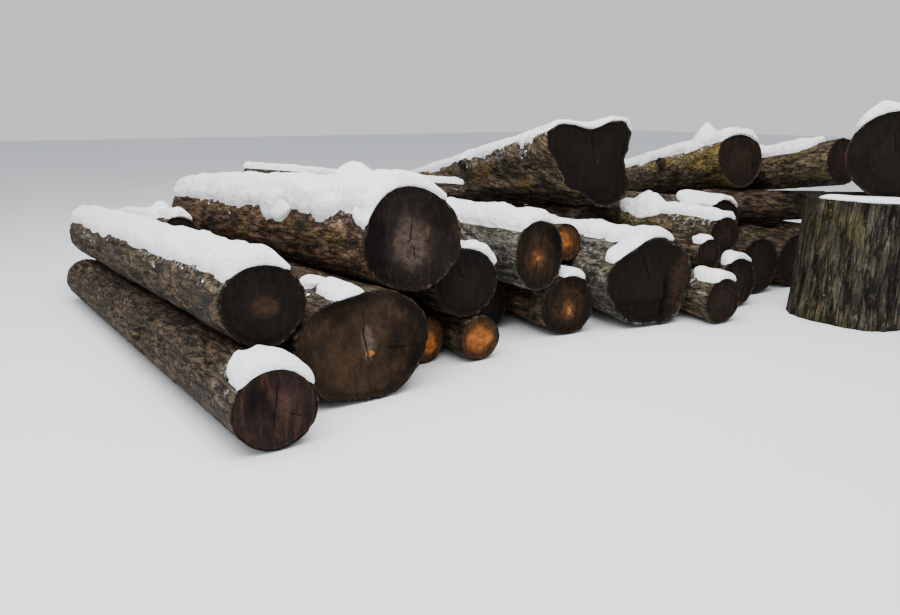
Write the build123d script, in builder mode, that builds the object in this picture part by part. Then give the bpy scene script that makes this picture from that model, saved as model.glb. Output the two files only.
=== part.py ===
from build123d import *

import math
import os
from dataclasses import dataclass

import numpy as np
from scipy.optimize import linprog

# Heap of felled logs under settled snow, in millimetres and degrees.
# The logs lie along +Y, their sawn near ends facing -Y. +X runs across the heap, +Z is up.
# While it is laid, the heap stands on its site: x and y are measured from a corner of the site.
# At the end it moves so that its origin is the middle of its own footprint, on the ground.

# Lengths to which the logs are cut.
SHORT_CUT = 2600.0
MIDDLE_CUT = 3200.0
LONG_CUT = 3800.0
# The short log that lies at the back on the left, the short thick one across the upright butt,
# the forked one that lies across the back of the heap, and the bearer that lies across the logs
# on the ground and carries the rear ones.
BACK_CUT = 1800.0
CROSS_CUT = 1000.0
FORK_CUT = 2350.0
BEARER_CUT = 1500.0

# The upright butt stands on its sawn foot.
UPRIGHT_HEIGHT = 960.0
UPRIGHT_TOP_DIAMETER = 880.0
UPRIGHT_FOOT_DIAMETER = 930.0
UPRIGHT_SITE = (5620.0, 3150.0)

# Space left between two logs that rest on each other, and under the snow.
SEAT_GAP = 0.3
SNOW_GAP = 0.5
# Depth of the settled snow on the top of a log, and the share of it left at its edges.
SNOW_DEPTH = 62.0
SNOW_EDGE = 0.3
# Snow on the flat top of the upright butt, how far it stays inside the top's rim and how far
# in front of the log that lies across it.
FLAT_SNOW_DEPTH = 38.0
FLAT_SNOW_INSET = 30.0
FLAT_SNOW_SPACE = 20.0

# The second prong of the forked log leaves its stem at the middle, turned to the left of it, and
# stays level while the stem rises.
PRONG_ROOT = 0.52
PRONG_LENGTH = 1000.0
PRONG_ROOT_DIAMETER = 130.0
PRONG_TIP_DIAMETER = 95.0
PRONG_TURN = 12.0

# Length over which the root swell at a log's butt dies away, and what is left of its lobes then.
SWELL_LENGTH = 450.0
LOBE_REMAINDER = 0.85
# Cross-sections along a log with a root swell, as shares of its length.
SWELL_STATIONS = (0.0, 0.08, 0.25, 1.0)


@dataclass
class Log:
    """One log: where its butt lies on the site, its sizes and the form of its section."""

    name: str
    site: tuple
    heading: float
    length: float
    butt: float
    top: float
    low: float = 0.0
    play: float = 0.0
    corners: int = 24
    flare: float = 0.0
    oval: float = 0.0
    lobes: tuple = ()

    def __post_init__(self):
        self.x, self.y = self.site
        self.near_z = self.low + self.butt / 2
        self.far_z = self.low + self.top / 2
        self.stations = SWELL_STATIONS if self.flare or self.lobes else (0.0, 1.0)
        self.step = 2 * math.pi / self.corners
        self.form = np.array([self.corner_radii(share) for share in self.stations])
        thick, thin = self.butt, self.top
        self.middle = ((thick**2 + 2 * thick * thin + 3 * thin**2)
                       / (4 * (thick**2 + thick * thin + thin**2)))

    def corner_radii(self, share):
        """Distances of the section's corners from the axis at a share of the length."""
        angle = np.arange(self.corners) * self.step
        swell = math.exp(-share * self.length / SWELL_LENGTH)
        fade = LOBE_REMAINDER + (1 - LOBE_REMAINDER) * swell
        shape = 1 + self.oval * np.cos(2 * angle)
        for count, depth, turn in self.lobes:
            shape = shape + depth * fade * np.cos(count * (angle - math.radians(turn)))
        half = (self.butt + (self.top - self.butt) * share) / 2
        return half * shape * (1 + self.flare * swell)

    def axes(self):
        """Near end of the axis, and the directions along the log, to its right and upwards."""
        heading = math.radians(self.heading)
        rise = self.far_z - self.near_z
        run = math.sqrt(self.length**2 - rise**2)
        along = np.array([-math.sin(heading) * run, math.cos(heading) * run, rise]) / self.length
        right = np.cross(along, [0.0, 0.0, 1.0])
        right /= np.linalg.norm(right)
        return np.array([self.x, self.y, self.near_z]), along, right, np.cross(right, along)

    def corner(self, index, share):
        """Distance of one corner from the axis, straight between two cross-sections."""
        index = index % self.corners
        last = len(self.stations) - 2
        span = np.clip(np.searchsorted(self.stations, share, side="right") - 1, 0, last)
        start = np.take(self.stations, span)
        part = (share - start) / (np.take(self.stations, span + 1) - start)
        return self.form[span, index] * (1 - part) + self.form[span + 1, index] * part

    def radius(self, angle, share):
        """Radius of the many-sided section at an angle around the axis."""
        turn = np.mod(angle, 2 * math.pi) / self.step
        index = np.floor(turn).astype(int)
        past = (turn - index) * self.step
        first = self.corner(index, share)
        second = self.corner(index + 1, share)
        return (first * second * math.sin(self.step)
                / (second * np.sin(self.step - past) + first * np.sin(past)))

    def surface(self, angle, share):
        """Points on the bark."""
        start, along, right, up = self.axes()
        radius = self.radius(angle, share)
        place = start + np.multiply.outer(share * self.length, along)
        place = place + np.multiply.outer(radius * np.cos(angle), right)
        return place + np.multiply.outer(radius * np.sin(angle), up)

    def clearance(self, points):
        """How far points lie outside the log, negative inside it."""
        start, along, right, up = self.axes()
        offset = points - start
        share = (offset @ along) / self.length
        across = offset @ right
        above = offset @ up
        bark = self.radius(np.arctan2(above, across), np.clip(share, 0, 1))
        ends = np.maximum(-share, share - 1) * self.length
        return np.maximum(np.hypot(across, above) - bark, ends)

    def section_plane(self, share):
        """Plane of the cross-section at a share of the length, its x to the right."""
        start, along, right, _ = self.axes()
        place = start + along * share * self.length
        return Plane(origin=tuple(place), x_dir=tuple(right), z_dir=tuple(-along))

    def section_corner(self, index, share, outwards=0.0):
        """A corner of the cross-section on its plane, or a place straight out from it."""
        distance = float(self.corner(index, share)) + outwards
        return distance * math.cos(index * self.step), distance * math.sin(index * self.step)


class UprightLog(Log):
    """A log that stands on its foot instead of lying down."""

    def axes(self):
        foot = np.array([self.x, self.y, 0.0])
        return foot, np.array([0.0, 0.0, 1.0]), np.array([1.0, 0.0, 0.0]), np.array([0.0, -1.0, 0.0])


@dataclass
class Snow:
    """Settled snow along a log, from a share of its length on and between two angles around it."""

    log: str
    start: float = 0.0
    reach: float = math.inf
    right: float = 45.0
    left: float = 135.0
    depth: float = SNOW_DEPTH

    def finish(self, log):
        """Share of the log's length at which the snow ends."""
        return min(1.0, self.start + self.reach / log.length)


# The logs on the ground, from the left of the heap to its right.
GROUND_LOGS = (
    Log("front_left", (840, 3100), 9, length=LONG_CUT, butt=440, top=360),
    Log("flat_oval", (1465, 3440), 7.5, length=LONG_CUT, butt=735, top=570,
        oval=0.12, flare=0.02, lobes=((3, 0.025, 40), (5, 0.015, 10))),
    Log("alder_left", (2042, 3860), 6, length=MIDDLE_CUT, butt=325, top=280, corners=20),
    Log("alder_right", (2385, 3710), 5, length=MIDDLE_CUT, butt=315, top=270, corners=20),
    Log("shaded", (2760, 4250), 3, length=MIDDLE_CUT, butt=420, top=350, corners=20),
    Log("red_heart", (3250, 3850), 1, length=MIDDLE_CUT, butt=465, top=400,
        lobes=((3, 0.025, 70),)),
    Log("flared_butt", (3925, 3690), -2, length=LONG_CUT, butt=715, top=580,
        flare=0.06, oval=0.07, lobes=((3, 0.05, 60), (5, 0.035, 20))),
    Log("right_small", (4475, 3490), -3, length=MIDDLE_CUT, butt=380, top=330, corners=20),
    Log("right_low", (4960, 3750), -4, length=MIDDLE_CUT, butt=440, top=380, corners=20),
    Log("right_mid", (5500, 3960), -5, length=MIDDLE_CUT, butt=520, top=450, corners=16),
    Log("right_far", (6060, 3960), -6, length=MIDDLE_CUT, butt=520, top=450, corners=12),
    Log("right_end", (6630, 3960), -7, length=MIDDLE_CUT, butt=520, top=450, corners=12),
)

# The logs laid on others, in the order in which they come to rest.
UPPER_LOGS = (
    Log("left_upper", (900, 3440), 8.5, length=LONG_CUT, butt=465, top=400, low=450, play=60,
        lobes=((3, 0.02, 30),)),
    Log("dark_oval", (2310, 3720), 6, length=MIDDLE_CUT, butt=470, top=400, low=450, play=10),
    Log("tall_oval", (2930, 3870), 4, length=MIDDLE_CUT, butt=470, top=400, low=500, play=60,
        oval=-0.12),
    Log("alder_back", (3480, 4240), 0, length=SHORT_CUT, butt=300, top=260, low=700, play=80,
        corners=20),
    Log("top_big", (1780, 3590), 8.5, length=LONG_CUT, butt=650, top=520, low=650, play=120,
        lobes=((3, 0.025, 100), (4, 0.015, 20))),
    Log("left_back", (960, 5850), 9, length=BACK_CUT, butt=300, top=240, low=800, play=120,
        corners=16),
    Log("behind", (4580, 3810), -4, length=SHORT_CUT, butt=280, top=250, low=500, play=60,
        corners=16),
    Log("inner", (4440, 5060), -3, length=SHORT_CUT, butt=360, top=240, low=600, play=60,
        corners=12),
    Log("cross_right", (4950, 3900), -4, length=SHORT_CUT, butt=340, top=320, low=550, play=80,
        corners=20),
    Log("bearer", (5640, 4800), -104, length=BEARER_CUT, butt=370, top=300, low=620,
        corners=12),
    Log("small_round", (5310, 4240), -5, length=SHORT_CUT, butt=400, top=340, low=700, play=60,
        corners=16),
    Log("forked_butt", (4430, 5000), -3, length=LONG_CUT, butt=840, top=430, low=1000, play=10,
        corners=24, lobes=((2, 0.1, -23), (3, 0.17, 42), (4, 0.12, 45), (6, 0.05, 34))),
    Log("rear_top", (5950, 4670), -12, length=MIDDLE_CUT, butt=540, top=380, low=1000, play=60,
        lobes=((3, 0.04, 150),)),
    Log("rear_right", (6480, 3900), -9, length=MIDDLE_CUT, butt=440, top=340, low=1000, play=30,
        corners=16),
    Log("rear_fork", (4000, 3500 + MIDDLE_CUT), 88, length=FORK_CUT, butt=290, top=120, low=1000,
        corners=16),
)

# A short thick log lies across the flat top of the upright butt.
top_right = Log("top_right", (5500, 2930), -60, length=CROSS_CUT, butt=670, top=640, low=1000)

upright_butt = UprightLog(
    "upright_butt", UPRIGHT_SITE, 0, length=UPRIGHT_HEIGHT, butt=UPRIGHT_FOOT_DIAMETER,
    top=UPRIGHT_TOP_DIAMETER, corners=24, flare=0.03, lobes=((3, 0.03, 110), (5, 0.03, 350)))

# Where the snow lies: all along the open backs, and only at the near ends of covered logs, as far
# as these stand out from under the others.
SNOW = (
    Snow("top_big"),
    Snow("left_upper"),
    Snow("left_back", left=112),
    Snow("front_left", reach=300, right=30),
    Snow("flat_oval", reach=380, right=90, left=124, depth=45),
    Snow("dark_oval", reach=1280, right=30, left=75, depth=50),
    Snow("tall_oval", reach=2500, right=60, left=120),
    Snow("red_heart", reach=290, right=60, left=105, depth=45),
    Snow("flared_butt", reach=1700, right=67, left=112),
    Snow("forked_butt", right=36, left=144),
    Snow("rear_top"),
    Snow("rear_right", start=0.3),
    Snow("rear_fork", left=112),
    Snow("prong", start=0.5, right=90, left=150),
    Snow("cross_right", reach=1300, right=54, left=126, depth=50),
    Snow("small_round", reach=570, right=54, left=126, depth=40),
    Snow("right_small", reach=290, right=54, left=126, depth=45),
    Snow("right_low", reach=130, right=54, left=126, depth=45),
    Snow("top_right"),
)

# The grid on which the surface of a log is searched for the places where it comes nearest.
GRID_ANGLES = 160
GRID_SHARES = 41
ANGLES, SHARES = np.meshgrid(
    np.linspace(0, 2 * math.pi, GRID_ANGLES, endpoint=False),
    np.linspace(0, 1, GRID_SHARES), indexing="ij")
# Parts of a log's length that are searched one by one, so that each gives a contact.
ZONES = ((0.0, 0.34), (0.33, 0.67), (0.66, 1.0))
# Contacts further away than the step of a log plus this are left out of the search.
SEARCH_MARGIN = 40.0


def nearest(log, height_over, zone):
    """Smallest value of a clearance over one zone of a log: its value, place and share."""
    inside = (SHARES >= zone[0]) & (SHARES <= zone[1])
    found = np.where(inside, height_over(log.surface(ANGLES, SHARES)), np.inf)
    best = np.unravel_index(np.argmin(found), found.shape)
    angle, share = ANGLES[best], SHARES[best]
    turn, slide = 2 * math.pi / GRID_ANGLES, 1 / (GRID_SHARES - 1)
    for _ in range(3):
        angles, shares = np.meshgrid(
            angle + np.linspace(-turn, turn, 9),
            np.clip(share + np.linspace(-slide, slide, 9), 0, 1), indexing="ij")
        places = log.surface(angles, shares)
        found = height_over(places)
        best = np.unravel_index(np.argmin(found), found.shape)
        angle, share = angles[best], shares[best]
        turn, slide = turn / 4, slide / 4
    return found[best], places[best], share


def slope(clearance, place, step=0.05):
    """Direction in which a clearance grows fastest."""
    return np.array([
        (clearance(place + move) - clearance(place - move)) / (2 * step)
        for move in np.eye(3) * step])


def box_of(log):
    """Corners of a box that holds the log."""
    start, along, _, _ = log.axes()
    finish = start + along * log.length
    margin = max(log.butt, log.top) * 0.75
    return np.minimum(start, finish) - margin, np.maximum(start, finish) + margin


def contacts(log, other, reach):
    """Nearest places of two logs, with how fast each gap grows as the log moves."""
    low_a, high_a = box_of(log)
    low_b, high_b = box_of(other)
    if (low_a - reach > high_b).any() or (low_b - reach > high_a).any():
        return []
    found = []
    for zone in ZONES:
        gap, place, share = nearest(log, other.clearance, zone)
        if gap < reach + SEARCH_MARGIN:
            way = slope(other.clearance, place)
            found.append((gap, way[0], way[2] * (1 - share), way[2] * share))
        gap, place, _ = nearest(other, log.clearance, zone)
        if gap < reach + SEARCH_MARGIN:
            start, along, _, _ = log.axes()
            share = float(np.clip((place - start) @ along / log.length, 0, 1))
            way = -slope(log.clearance, place)
            found.append((gap, way[0], way[2] * (1 - share), way[2] * share))
    return found


def ground_contacts(log):
    """Heights of the log's lowest places over the ground, which it may touch."""
    found = []
    for zone in ZONES:
        height, _, share = nearest(log, lambda places: places[..., 2], zone)
        found.append((height + SEAT_GAP, 0.0, 1 - share, share))
    return found


def settle(log, laid):
    """Lower a log, and roll it sideways within its play, until it rests on what is laid."""
    reach = 150.0
    weights = (0, 1 - log.middle, log.middle)
    for turn in range(40):
        near = ground_contacts(log)
        for other in laid:
            near += contacts(log, other, reach)
        near = np.array(near)
        room = near[:, 0] - SEAT_GAP
        left = max(-reach, log.site[0] - log.play - log.x)
        right = min(reach, log.site[0] + log.play - log.x)
        sides = [(min(left, 0), max(right, 0)), (-reach, reach), (-reach, reach)]
        move = linprog(weights, A_ub=-near[:, 1:], b_ub=room, bounds=sides)
        if move.status != 0:
            spill = -np.ones((len(near), 1))
            move = linprog((0, 0, 0, 1), A_ub=np.hstack((-near[:, 1:], spill)), b_ub=room,
                           bounds=sides + [(0, None)])
        log.x += move.x[0]
        log.near_z += move.x[1]
        log.far_z += move.x[2]
        if np.abs(move.x[:3]).max() < 0.02:
            break
        if turn > 4:
            reach = max(0.6 * reach, 0.2)
    return log


def lay_heap():
    """All logs at rest, in the order in which they were laid."""
    laid = [upright_butt]
    for log in GROUND_LOGS + UPPER_LOGS + (top_right,):
        laid.append(settle(log, laid))
    return laid


def build_log(log):
    """Loft one log through its many-sided cross-sections."""
    with BuildPart() as piece:
        for share in log.stations:
            with BuildSketch(log.section_plane(share)):
                with BuildLine():
                    corners = [log.section_corner(index, share) for index in range(log.corners)]
                    Polyline(*corners, close=True)
                make_face()
        loft(ruled=True)
    return piece.part


def prong_of(stem):
    """The second prong of the forked log, which grows out of its stem."""
    start, along, _, _ = stem.axes()
    root = start + along * stem.length * PRONG_ROOT
    prong = Log("prong", (root[0], root[1]), stem.heading + PRONG_TURN, length=PRONG_LENGTH,
                butt=PRONG_ROOT_DIAMETER, top=PRONG_TIP_DIAMETER, corners=12)
    prong.near_z = prong.far_z = root[2]
    return prong


def build_forked_log(stem, prong):
    """The stem and the prong of the forked log as one solid."""
    with BuildPart() as piece:
        add(build_log(stem))
        add(build_log(prong))
    return piece.part


def build_snow(snow, log):
    """Loft the snow over a log: it follows the bark under it and is rounded above."""
    first = round(math.radians(snow.right) / log.step)
    last = round(math.radians(snow.left) / log.step)
    finish = snow.finish(log)
    inner = [share for share in log.stations if snow.start < share < finish]
    with BuildPart() as piece:
        for share in (snow.start, *inner, finish):
            under = [log.section_corner(index, share, SNOW_GAP) for index in range(first, last + 1)]
            over = []
            for index in range(last, first - 1, -1):
                across = 2 * (index - first) / (last - first) - 1
                rounding = SNOW_EDGE + (1 - SNOW_EDGE) * (1 - across * across)
                depth = SNOW_GAP + snow.depth * rounding
                over.append(log.section_corner(index, share, depth))
            with BuildSketch(log.section_plane(share)):
                with BuildLine():
                    Polyline(*under, *over, close=True)
                make_face()
        loft(ruled=True)
    return piece.part


def build_flat_snow(butt, crossing):
    """Snow on the part of the upright butt's flat top that the log lying on it leaves open."""
    heading = math.radians(crossing.heading)
    face = Plane(origin=(crossing.x, crossing.y, 0), z_dir=(-math.sin(heading), math.cos(heading), 0))
    with BuildPart() as piece:
        with BuildSketch(Plane.XY.offset(butt.length + SNOW_GAP)):
            with BuildLine():
                rim = []
                for index in reversed(range(butt.corners)):
                    right, forward = butt.section_corner(index, 1.0, -FLAT_SNOW_INSET)
                    rim.append((butt.x + right, butt.y - forward))
                Polyline(*rim, close=True)
            make_face()
        extrude(amount=FLAT_SNOW_DEPTH, taper=20)
        split(bisect_by=face.offset(-FLAT_SNOW_SPACE), keep=Keep.BOTTOM)
    return piece.part


def main():
    """Lay the heap, build its logs and their snow and write one file for each."""
    heap = {log.name: log for log in lay_heap()}
    pieces = {name: build_log(log) for name, log in heap.items()}
    heap["prong"] = prong_of(heap["rear_fork"])
    pieces["rear_fork"] = build_forked_log(heap["rear_fork"], heap["prong"])
    for snow in SNOW:
        pieces[f"snow_{snow.log}"] = build_snow(snow, heap[snow.log])
    pieces["snow_upright_butt"] = build_flat_snow(upright_butt, top_right)
    boxes = [piece.bounding_box() for piece in pieces.values()]
    middle_x = (min(box.min.X for box in boxes) + max(box.max.X for box in boxes)) / 2
    middle_y = (min(box.min.Y for box in boxes) + max(box.max.Y for box in boxes)) / 2
    ground = min(box.min.Z for box in boxes)
    print("site of the origin", round(middle_x, 1), round(middle_y, 1), round(ground, 2))
    os.makedirs("parts", exist_ok=True)
    for name, piece in pieces.items():
        placed = piece.moved(Location((-middle_x, -middle_y, -ground)))
        placed.label = name
        export_step(placed, f"parts/{name}.step")


if __name__ == "__main__":
    main()
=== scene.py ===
"""Looks of a heap of felled logs under settled snow, built around its CAD part."""

import logging
import math
from dataclasses import dataclass, replace
from enum import Enum
from typing import Optional, Union

import bpy
import numpy as np
from mathutils import Matrix, Vector
from mathutils.bvhtree import BVHTree


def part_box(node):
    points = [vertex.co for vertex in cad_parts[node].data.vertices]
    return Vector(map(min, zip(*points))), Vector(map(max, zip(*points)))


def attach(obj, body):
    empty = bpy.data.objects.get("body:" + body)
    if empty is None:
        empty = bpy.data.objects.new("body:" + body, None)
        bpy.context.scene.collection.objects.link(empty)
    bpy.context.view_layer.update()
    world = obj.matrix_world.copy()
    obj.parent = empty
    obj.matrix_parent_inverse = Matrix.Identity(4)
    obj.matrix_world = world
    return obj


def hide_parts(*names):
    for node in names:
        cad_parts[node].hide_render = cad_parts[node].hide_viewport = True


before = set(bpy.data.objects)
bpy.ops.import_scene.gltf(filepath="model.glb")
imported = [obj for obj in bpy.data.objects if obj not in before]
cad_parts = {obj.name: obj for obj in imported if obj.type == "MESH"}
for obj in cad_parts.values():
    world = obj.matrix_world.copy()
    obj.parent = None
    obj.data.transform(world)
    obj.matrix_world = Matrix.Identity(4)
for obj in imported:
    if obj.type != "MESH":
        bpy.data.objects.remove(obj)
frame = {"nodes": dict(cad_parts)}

LOGGER = logging.getLogger("heap")
BODY = "root"
WOOD_SLOT = "log_wood"
SNOW_SLOT = "snow"

# Where the photo was taken from, in the part's frame, and the lens.
EYE = Vector((-3.6555, -5.7170, 1.62))
GAZE_HEADING = math.radians(30.0)
GAZE_TILT = math.radians(15.756)
LENS_MM = 28.0
SENSOR_MM = 36.0

# Places at which a log's CAD solid is measured, and how far its rays look for the skin.
MEASURED_SHARES = np.linspace(0.004, 0.996, 13)
MEASURED_ANGLES = 96
RAY_REACH = 2.0

TURN = 2 * math.pi
SIDE = np.array((1.0, 0.0, 0.0))
UP = np.array((0.0, 0.0, 1.0))

Array = np.ndarray
Colour = tuple[float, float, float]
Object = bpy.types.Object
Material = bpy.types.Material
Socket = bpy.types.NodeSocket
Number = Union[Socket, float]
Paint = Union[Socket, Colour]
Rows = dict[str, Array]


class Bark(Enum):
    """Kinds of bark: depth of the furrows, and how far apart and how long ridges are, in metres."""

    FURROWED = (0.0100, 0.040, 0.22)
    COARSE = (0.0150, 0.055, 0.30)
    SCALY = (0.0065, 0.034, 0.10)
    SMOOTH = (0.0028, 0.030, 0.16)

    def __init__(self, depth: float, spacing: float, run: float) -> None:
        """Name the three sizes."""
        self.depth, self.spacing, self.run = depth, spacing, run


class Tone(Enum):
    """What a patch in a sawn end looks like, by the name of its mark."""

    WORN = "patch"
    FRESH = "chip"
    # DARK marks painted shade over one side of a sawn end.
    DARK = "shade"


# Values that a log's mesh carries for its materials. A gap is the distance from a crack.
GAP_MARKS = ("gap_0", "gap_1", "gap_2", "gap_3")
MARKS = ("relief", "moss", "dust", "rim", *(tone.value for tone in Tone), *GAP_MARKS)


class Noise:
    """Smooth noise that repeats for a seed."""

    SIZE = 4096
    PRIMES = (73856093, 19349663, 83492791)

    def __init__(self, seed: int) -> None:
        """Fill the table of values that the seed picks."""
        self.table = np.random.default_rng(seed).random(self.SIZE)

    def value(self, points: Array) -> Array:
        """Noise at points.

        Args:
            points: Array whose last axis holds x, y and z in noise cells.

        Returns:
            Values from -1 to 1.
        """
        cell = np.floor(points).astype(np.int64)
        part = points - cell
        part = part * part * (3 - 2 * part)
        total = np.zeros(points.shape[:-1])
        for corner in range(8):
            key = np.zeros(points.shape[:-1], np.int64)
            weight = np.ones(points.shape[:-1])
            for axis in range(3):
                bit = (corner >> axis) & 1
                key ^= (cell[..., axis] + bit) * self.PRIMES[axis]
                weight *= part[..., axis] if bit else 1 - part[..., axis]
            total += weight * self.table[key & (self.SIZE - 1)]
        return 2 * total - 1

    def fractal(self, points: Array, octaves: int = 3) -> Array:
        """Sum of finer and finer noise.

        Args:
            points: Array whose last axis holds x, y and z in noise cells.
            octaves: Number of layers.

        Returns:
            Values from about -1 to 1.
        """
        total = np.zeros(points.shape[:-1])
        for layer in range(octaves):
            total += self.value(points * 2.0**layer + 17.3 * layer) * 0.5**layer
        return total / (2 - 0.5 ** (octaves - 1))

    def line(self, places: Array, octaves: int = 2) -> Array:
        """Noise along a line, at places in noise cells."""
        level = 0 * places + 0.5
        return self.fractal(np.stack((places, level, level), -1), octaves)


def smooth_step(low: float, high: float, value: Array) -> Array:
    """Ease values from 0 at low to 1 at high."""
    part = np.clip((value - low) / (high - low), 0, 1)
    return part * part * (3 - 2 * part)


def unit(way: Array) -> Array:
    """A direction, made 1 long."""
    return way / np.linalg.norm(way)


def vertices(node: Object) -> Array:
    """Places of a node's vertices.

    Args:
        node: The node.

    Returns:
        Array of vertices and x, y, z.
    """
    places = np.zeros(len(node.data.vertices) * 3)
    node.data.vertices.foreach_get("co", places)
    return places.reshape(-1, 3)


def ray_lengths(node: Object, feet: list, ways: list, missing: float) -> Array:
    """Distances from points to a node's surface.

    Args:
        node: The node.
        feet: Where the rays start.
        ways: The directions that are looked in from each foot.
        missing: What a ray gives that meets nothing.

    Returns:
        Distances by foot and direction.
    """
    mesh = node.data
    tree = BVHTree.FromPolygons(
        [vertex.co for vertex in mesh.vertices], [face.vertices for face in mesh.polygons])
    lengths = np.full((len(feet), len(ways)), missing)
    for row, foot in enumerate(feet):
        for column, way in enumerate(ways):
            found = tree.ray_cast(Vector(foot), Vector(way), RAY_REACH)
            if found[0] is not None:
                lengths[row, column] = found[3]
    return lengths


def put(name: str, data: bpy.types.ID) -> Object:
    """Put a new object with the given data into the scene.

    Args:
        name: Its name.
        data: Its mesh, light or camera.

    Returns:
        The object, at the origin.
    """
    made = bpy.data.objects.new(name, data)
    bpy.context.scene.collection.objects.link(made)
    return made


def look_at(placed: Object, place: Vector, way: Vector) -> None:
    """Put a light or the camera at a place, so that it looks along a direction."""
    facing = way.to_track_quat("-Z", "Y").to_matrix().to_4x4()
    placed.matrix_world = Matrix.Translation(place) @ facing


def declare(piece: Object, node: Optional[str] = None) -> Object:
    """Attach a finished piece to the body, hide the CAD node that it replaces, and log its faces.

    Args:
        piece: The piece.
        node: The CAD node that it replaces, if any.

    Returns:
        The piece.
    """
    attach(piece, BODY)
    if node is not None:
        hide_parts(node)
    LOGGER.info("%s: %d faces", piece.name, len(piece.data.polygons))
    return piece


class MeshDraft:
    """A tube of rings of points and the caps on its ends, which become one mesh."""

    def __init__(self, points: Array, uv: Optional[Array] = None,
                 marks: Optional[Rows] = None, material: Optional[Array] = None) -> None:
        """Join the rings with squares.

        Args:
            points: Array of rings, columns and x, y, z.
            uv: Array of rings, columns + 1, and u, v.
            marks: Named values for each point, as rings and columns.
            material: Material index of each row of faces.
        """
        rows, columns = points.shape[:2]
        self.rings = points
        self.ring_uv = np.zeros((rows, columns + 1, 2)) if uv is None else uv
        self.ring_marks = marks or {}
        material = np.zeros(rows - 1, int) if material is None else material
        row, column = np.meshgrid(np.arange(rows - 1), np.arange(columns), indexing="ij")
        beside = (column + 1) % columns
        corners = np.stack((row * columns + column, row * columns + beside,
                            (row + 1) * columns + beside, (row + 1) * columns + column), -1)
        self.faces = corners.reshape(-1, 4).tolist()
        self.materials = np.repeat(material, columns).tolist()
        uv = self.ring_uv
        loops = np.stack((uv[:-1, :-1], uv[:-1, 1:], uv[1:, 1:], uv[1:, :-1]), 2)
        self.uvs = [loops.reshape(-1, 2)]
        self.points = [points.reshape(-1, 3)]
        self.marks = {name: [values.reshape(-1)] for name, values in self.ring_marks.items()}

    def cap(self, row: int, centre: Optional[Array] = None, material: int = 0) -> None:
        """Close the first or the last ring with triangles around a centre.

        Args:
            row: 0 for the first ring, -1 for the last.
            centre: The centre's place, if it isn't the ring's middle.
            material: Material index.
        """
        rows, columns = self.rings.shape[:2]
        ring = np.arange(columns) + (row % rows) * columns
        uv = self.ring_uv[row]
        corners, sides = (ring, np.roll(ring, -1)), (uv[:-1], uv[1:])
        if row == 0:
            corners, sides = corners[::-1], sides[::-1]
        count = sum(len(points) for points in self.points)
        self.faces += np.stack((np.full(columns, count), *corners), -1).tolist()
        self.materials += [material] * columns
        middle = np.broadcast_to(uv[:-1].mean(0), (columns, 2))
        self.uvs.append(np.stack((middle, *sides), 1).reshape(-1, 2))
        centre = self.rings[row].mean(0) if centre is None else centre
        self.points.append(centre.reshape(1, 3))
        for name, values in self.marks.items():
            values.append(np.array([self.ring_marks[name][row].mean()]))

    def build(self, name: str, materials: list[Material]) -> Object:
        """Make the object.

        Args:
            name: The object's name.
            materials: Materials in the order of their indices.

        Returns:
            The linked object, at the origin.
        """
        mesh = bpy.data.meshes.new(name)
        mesh.from_pydata(np.concatenate(self.points).tolist(), [], self.faces)
        for material in materials:
            mesh.materials.append(material)
        mesh.polygons.foreach_set("material_index", self.materials)
        mesh.polygons.foreach_set("use_smooth", [True] * len(self.faces))
        layer = mesh.uv_layers.new(name="Surface")
        layer.data.foreach_set("uv", np.concatenate(self.uvs).astype(np.float32).ravel())
        for mark, values in self.marks.items():
            attribute = mesh.attributes.new(mark, "FLOAT", "POINT")
            attribute.data.foreach_set("value", np.concatenate(values).astype(np.float32))
        mesh.update()
        return put(name, mesh)


class NodeDraft:
    """Adds nodes to a tree."""

    def __init__(self, tree: bpy.types.NodeTree) -> None:
        """Start with the tree emptied."""
        self.tree = tree
        self.tree.nodes.clear()

    def add(self, kind: str, inputs: Optional[dict] = None, **settings: object
            ) -> bpy.types.Node:
        """Add a node.

        Args:
            kind: The node's type.
            inputs: Values or output sockets by input name or index.
            **settings: The node's own settings.

        Returns:
            The node.
        """
        node = self.tree.nodes.new(kind)
        for key, value in settings.items():
            setattr(node, key, value)
        for key, value in (inputs or {}).items():
            if isinstance(value, Socket):
                self.tree.links.new(value, node.inputs[key])
            else:
                node.inputs[key].default_value = value
        return node

    def math(self, operation: str, *values: Number) -> Socket:
        """Do sums with sockets and numbers."""
        return self.add("ShaderNodeMath", dict(enumerate(values)), operation=operation).outputs[0]

    def times(self, one: Number, two: Number) -> Socket:
        """Product of two values."""
        return self.math("MULTIPLY", one, two)

    def combine(self, *parts: Number) -> Socket:
        """Vector of up to three values."""
        return self.add("ShaderNodeCombineXYZ", dict(enumerate(parts))).outputs[0]


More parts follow.
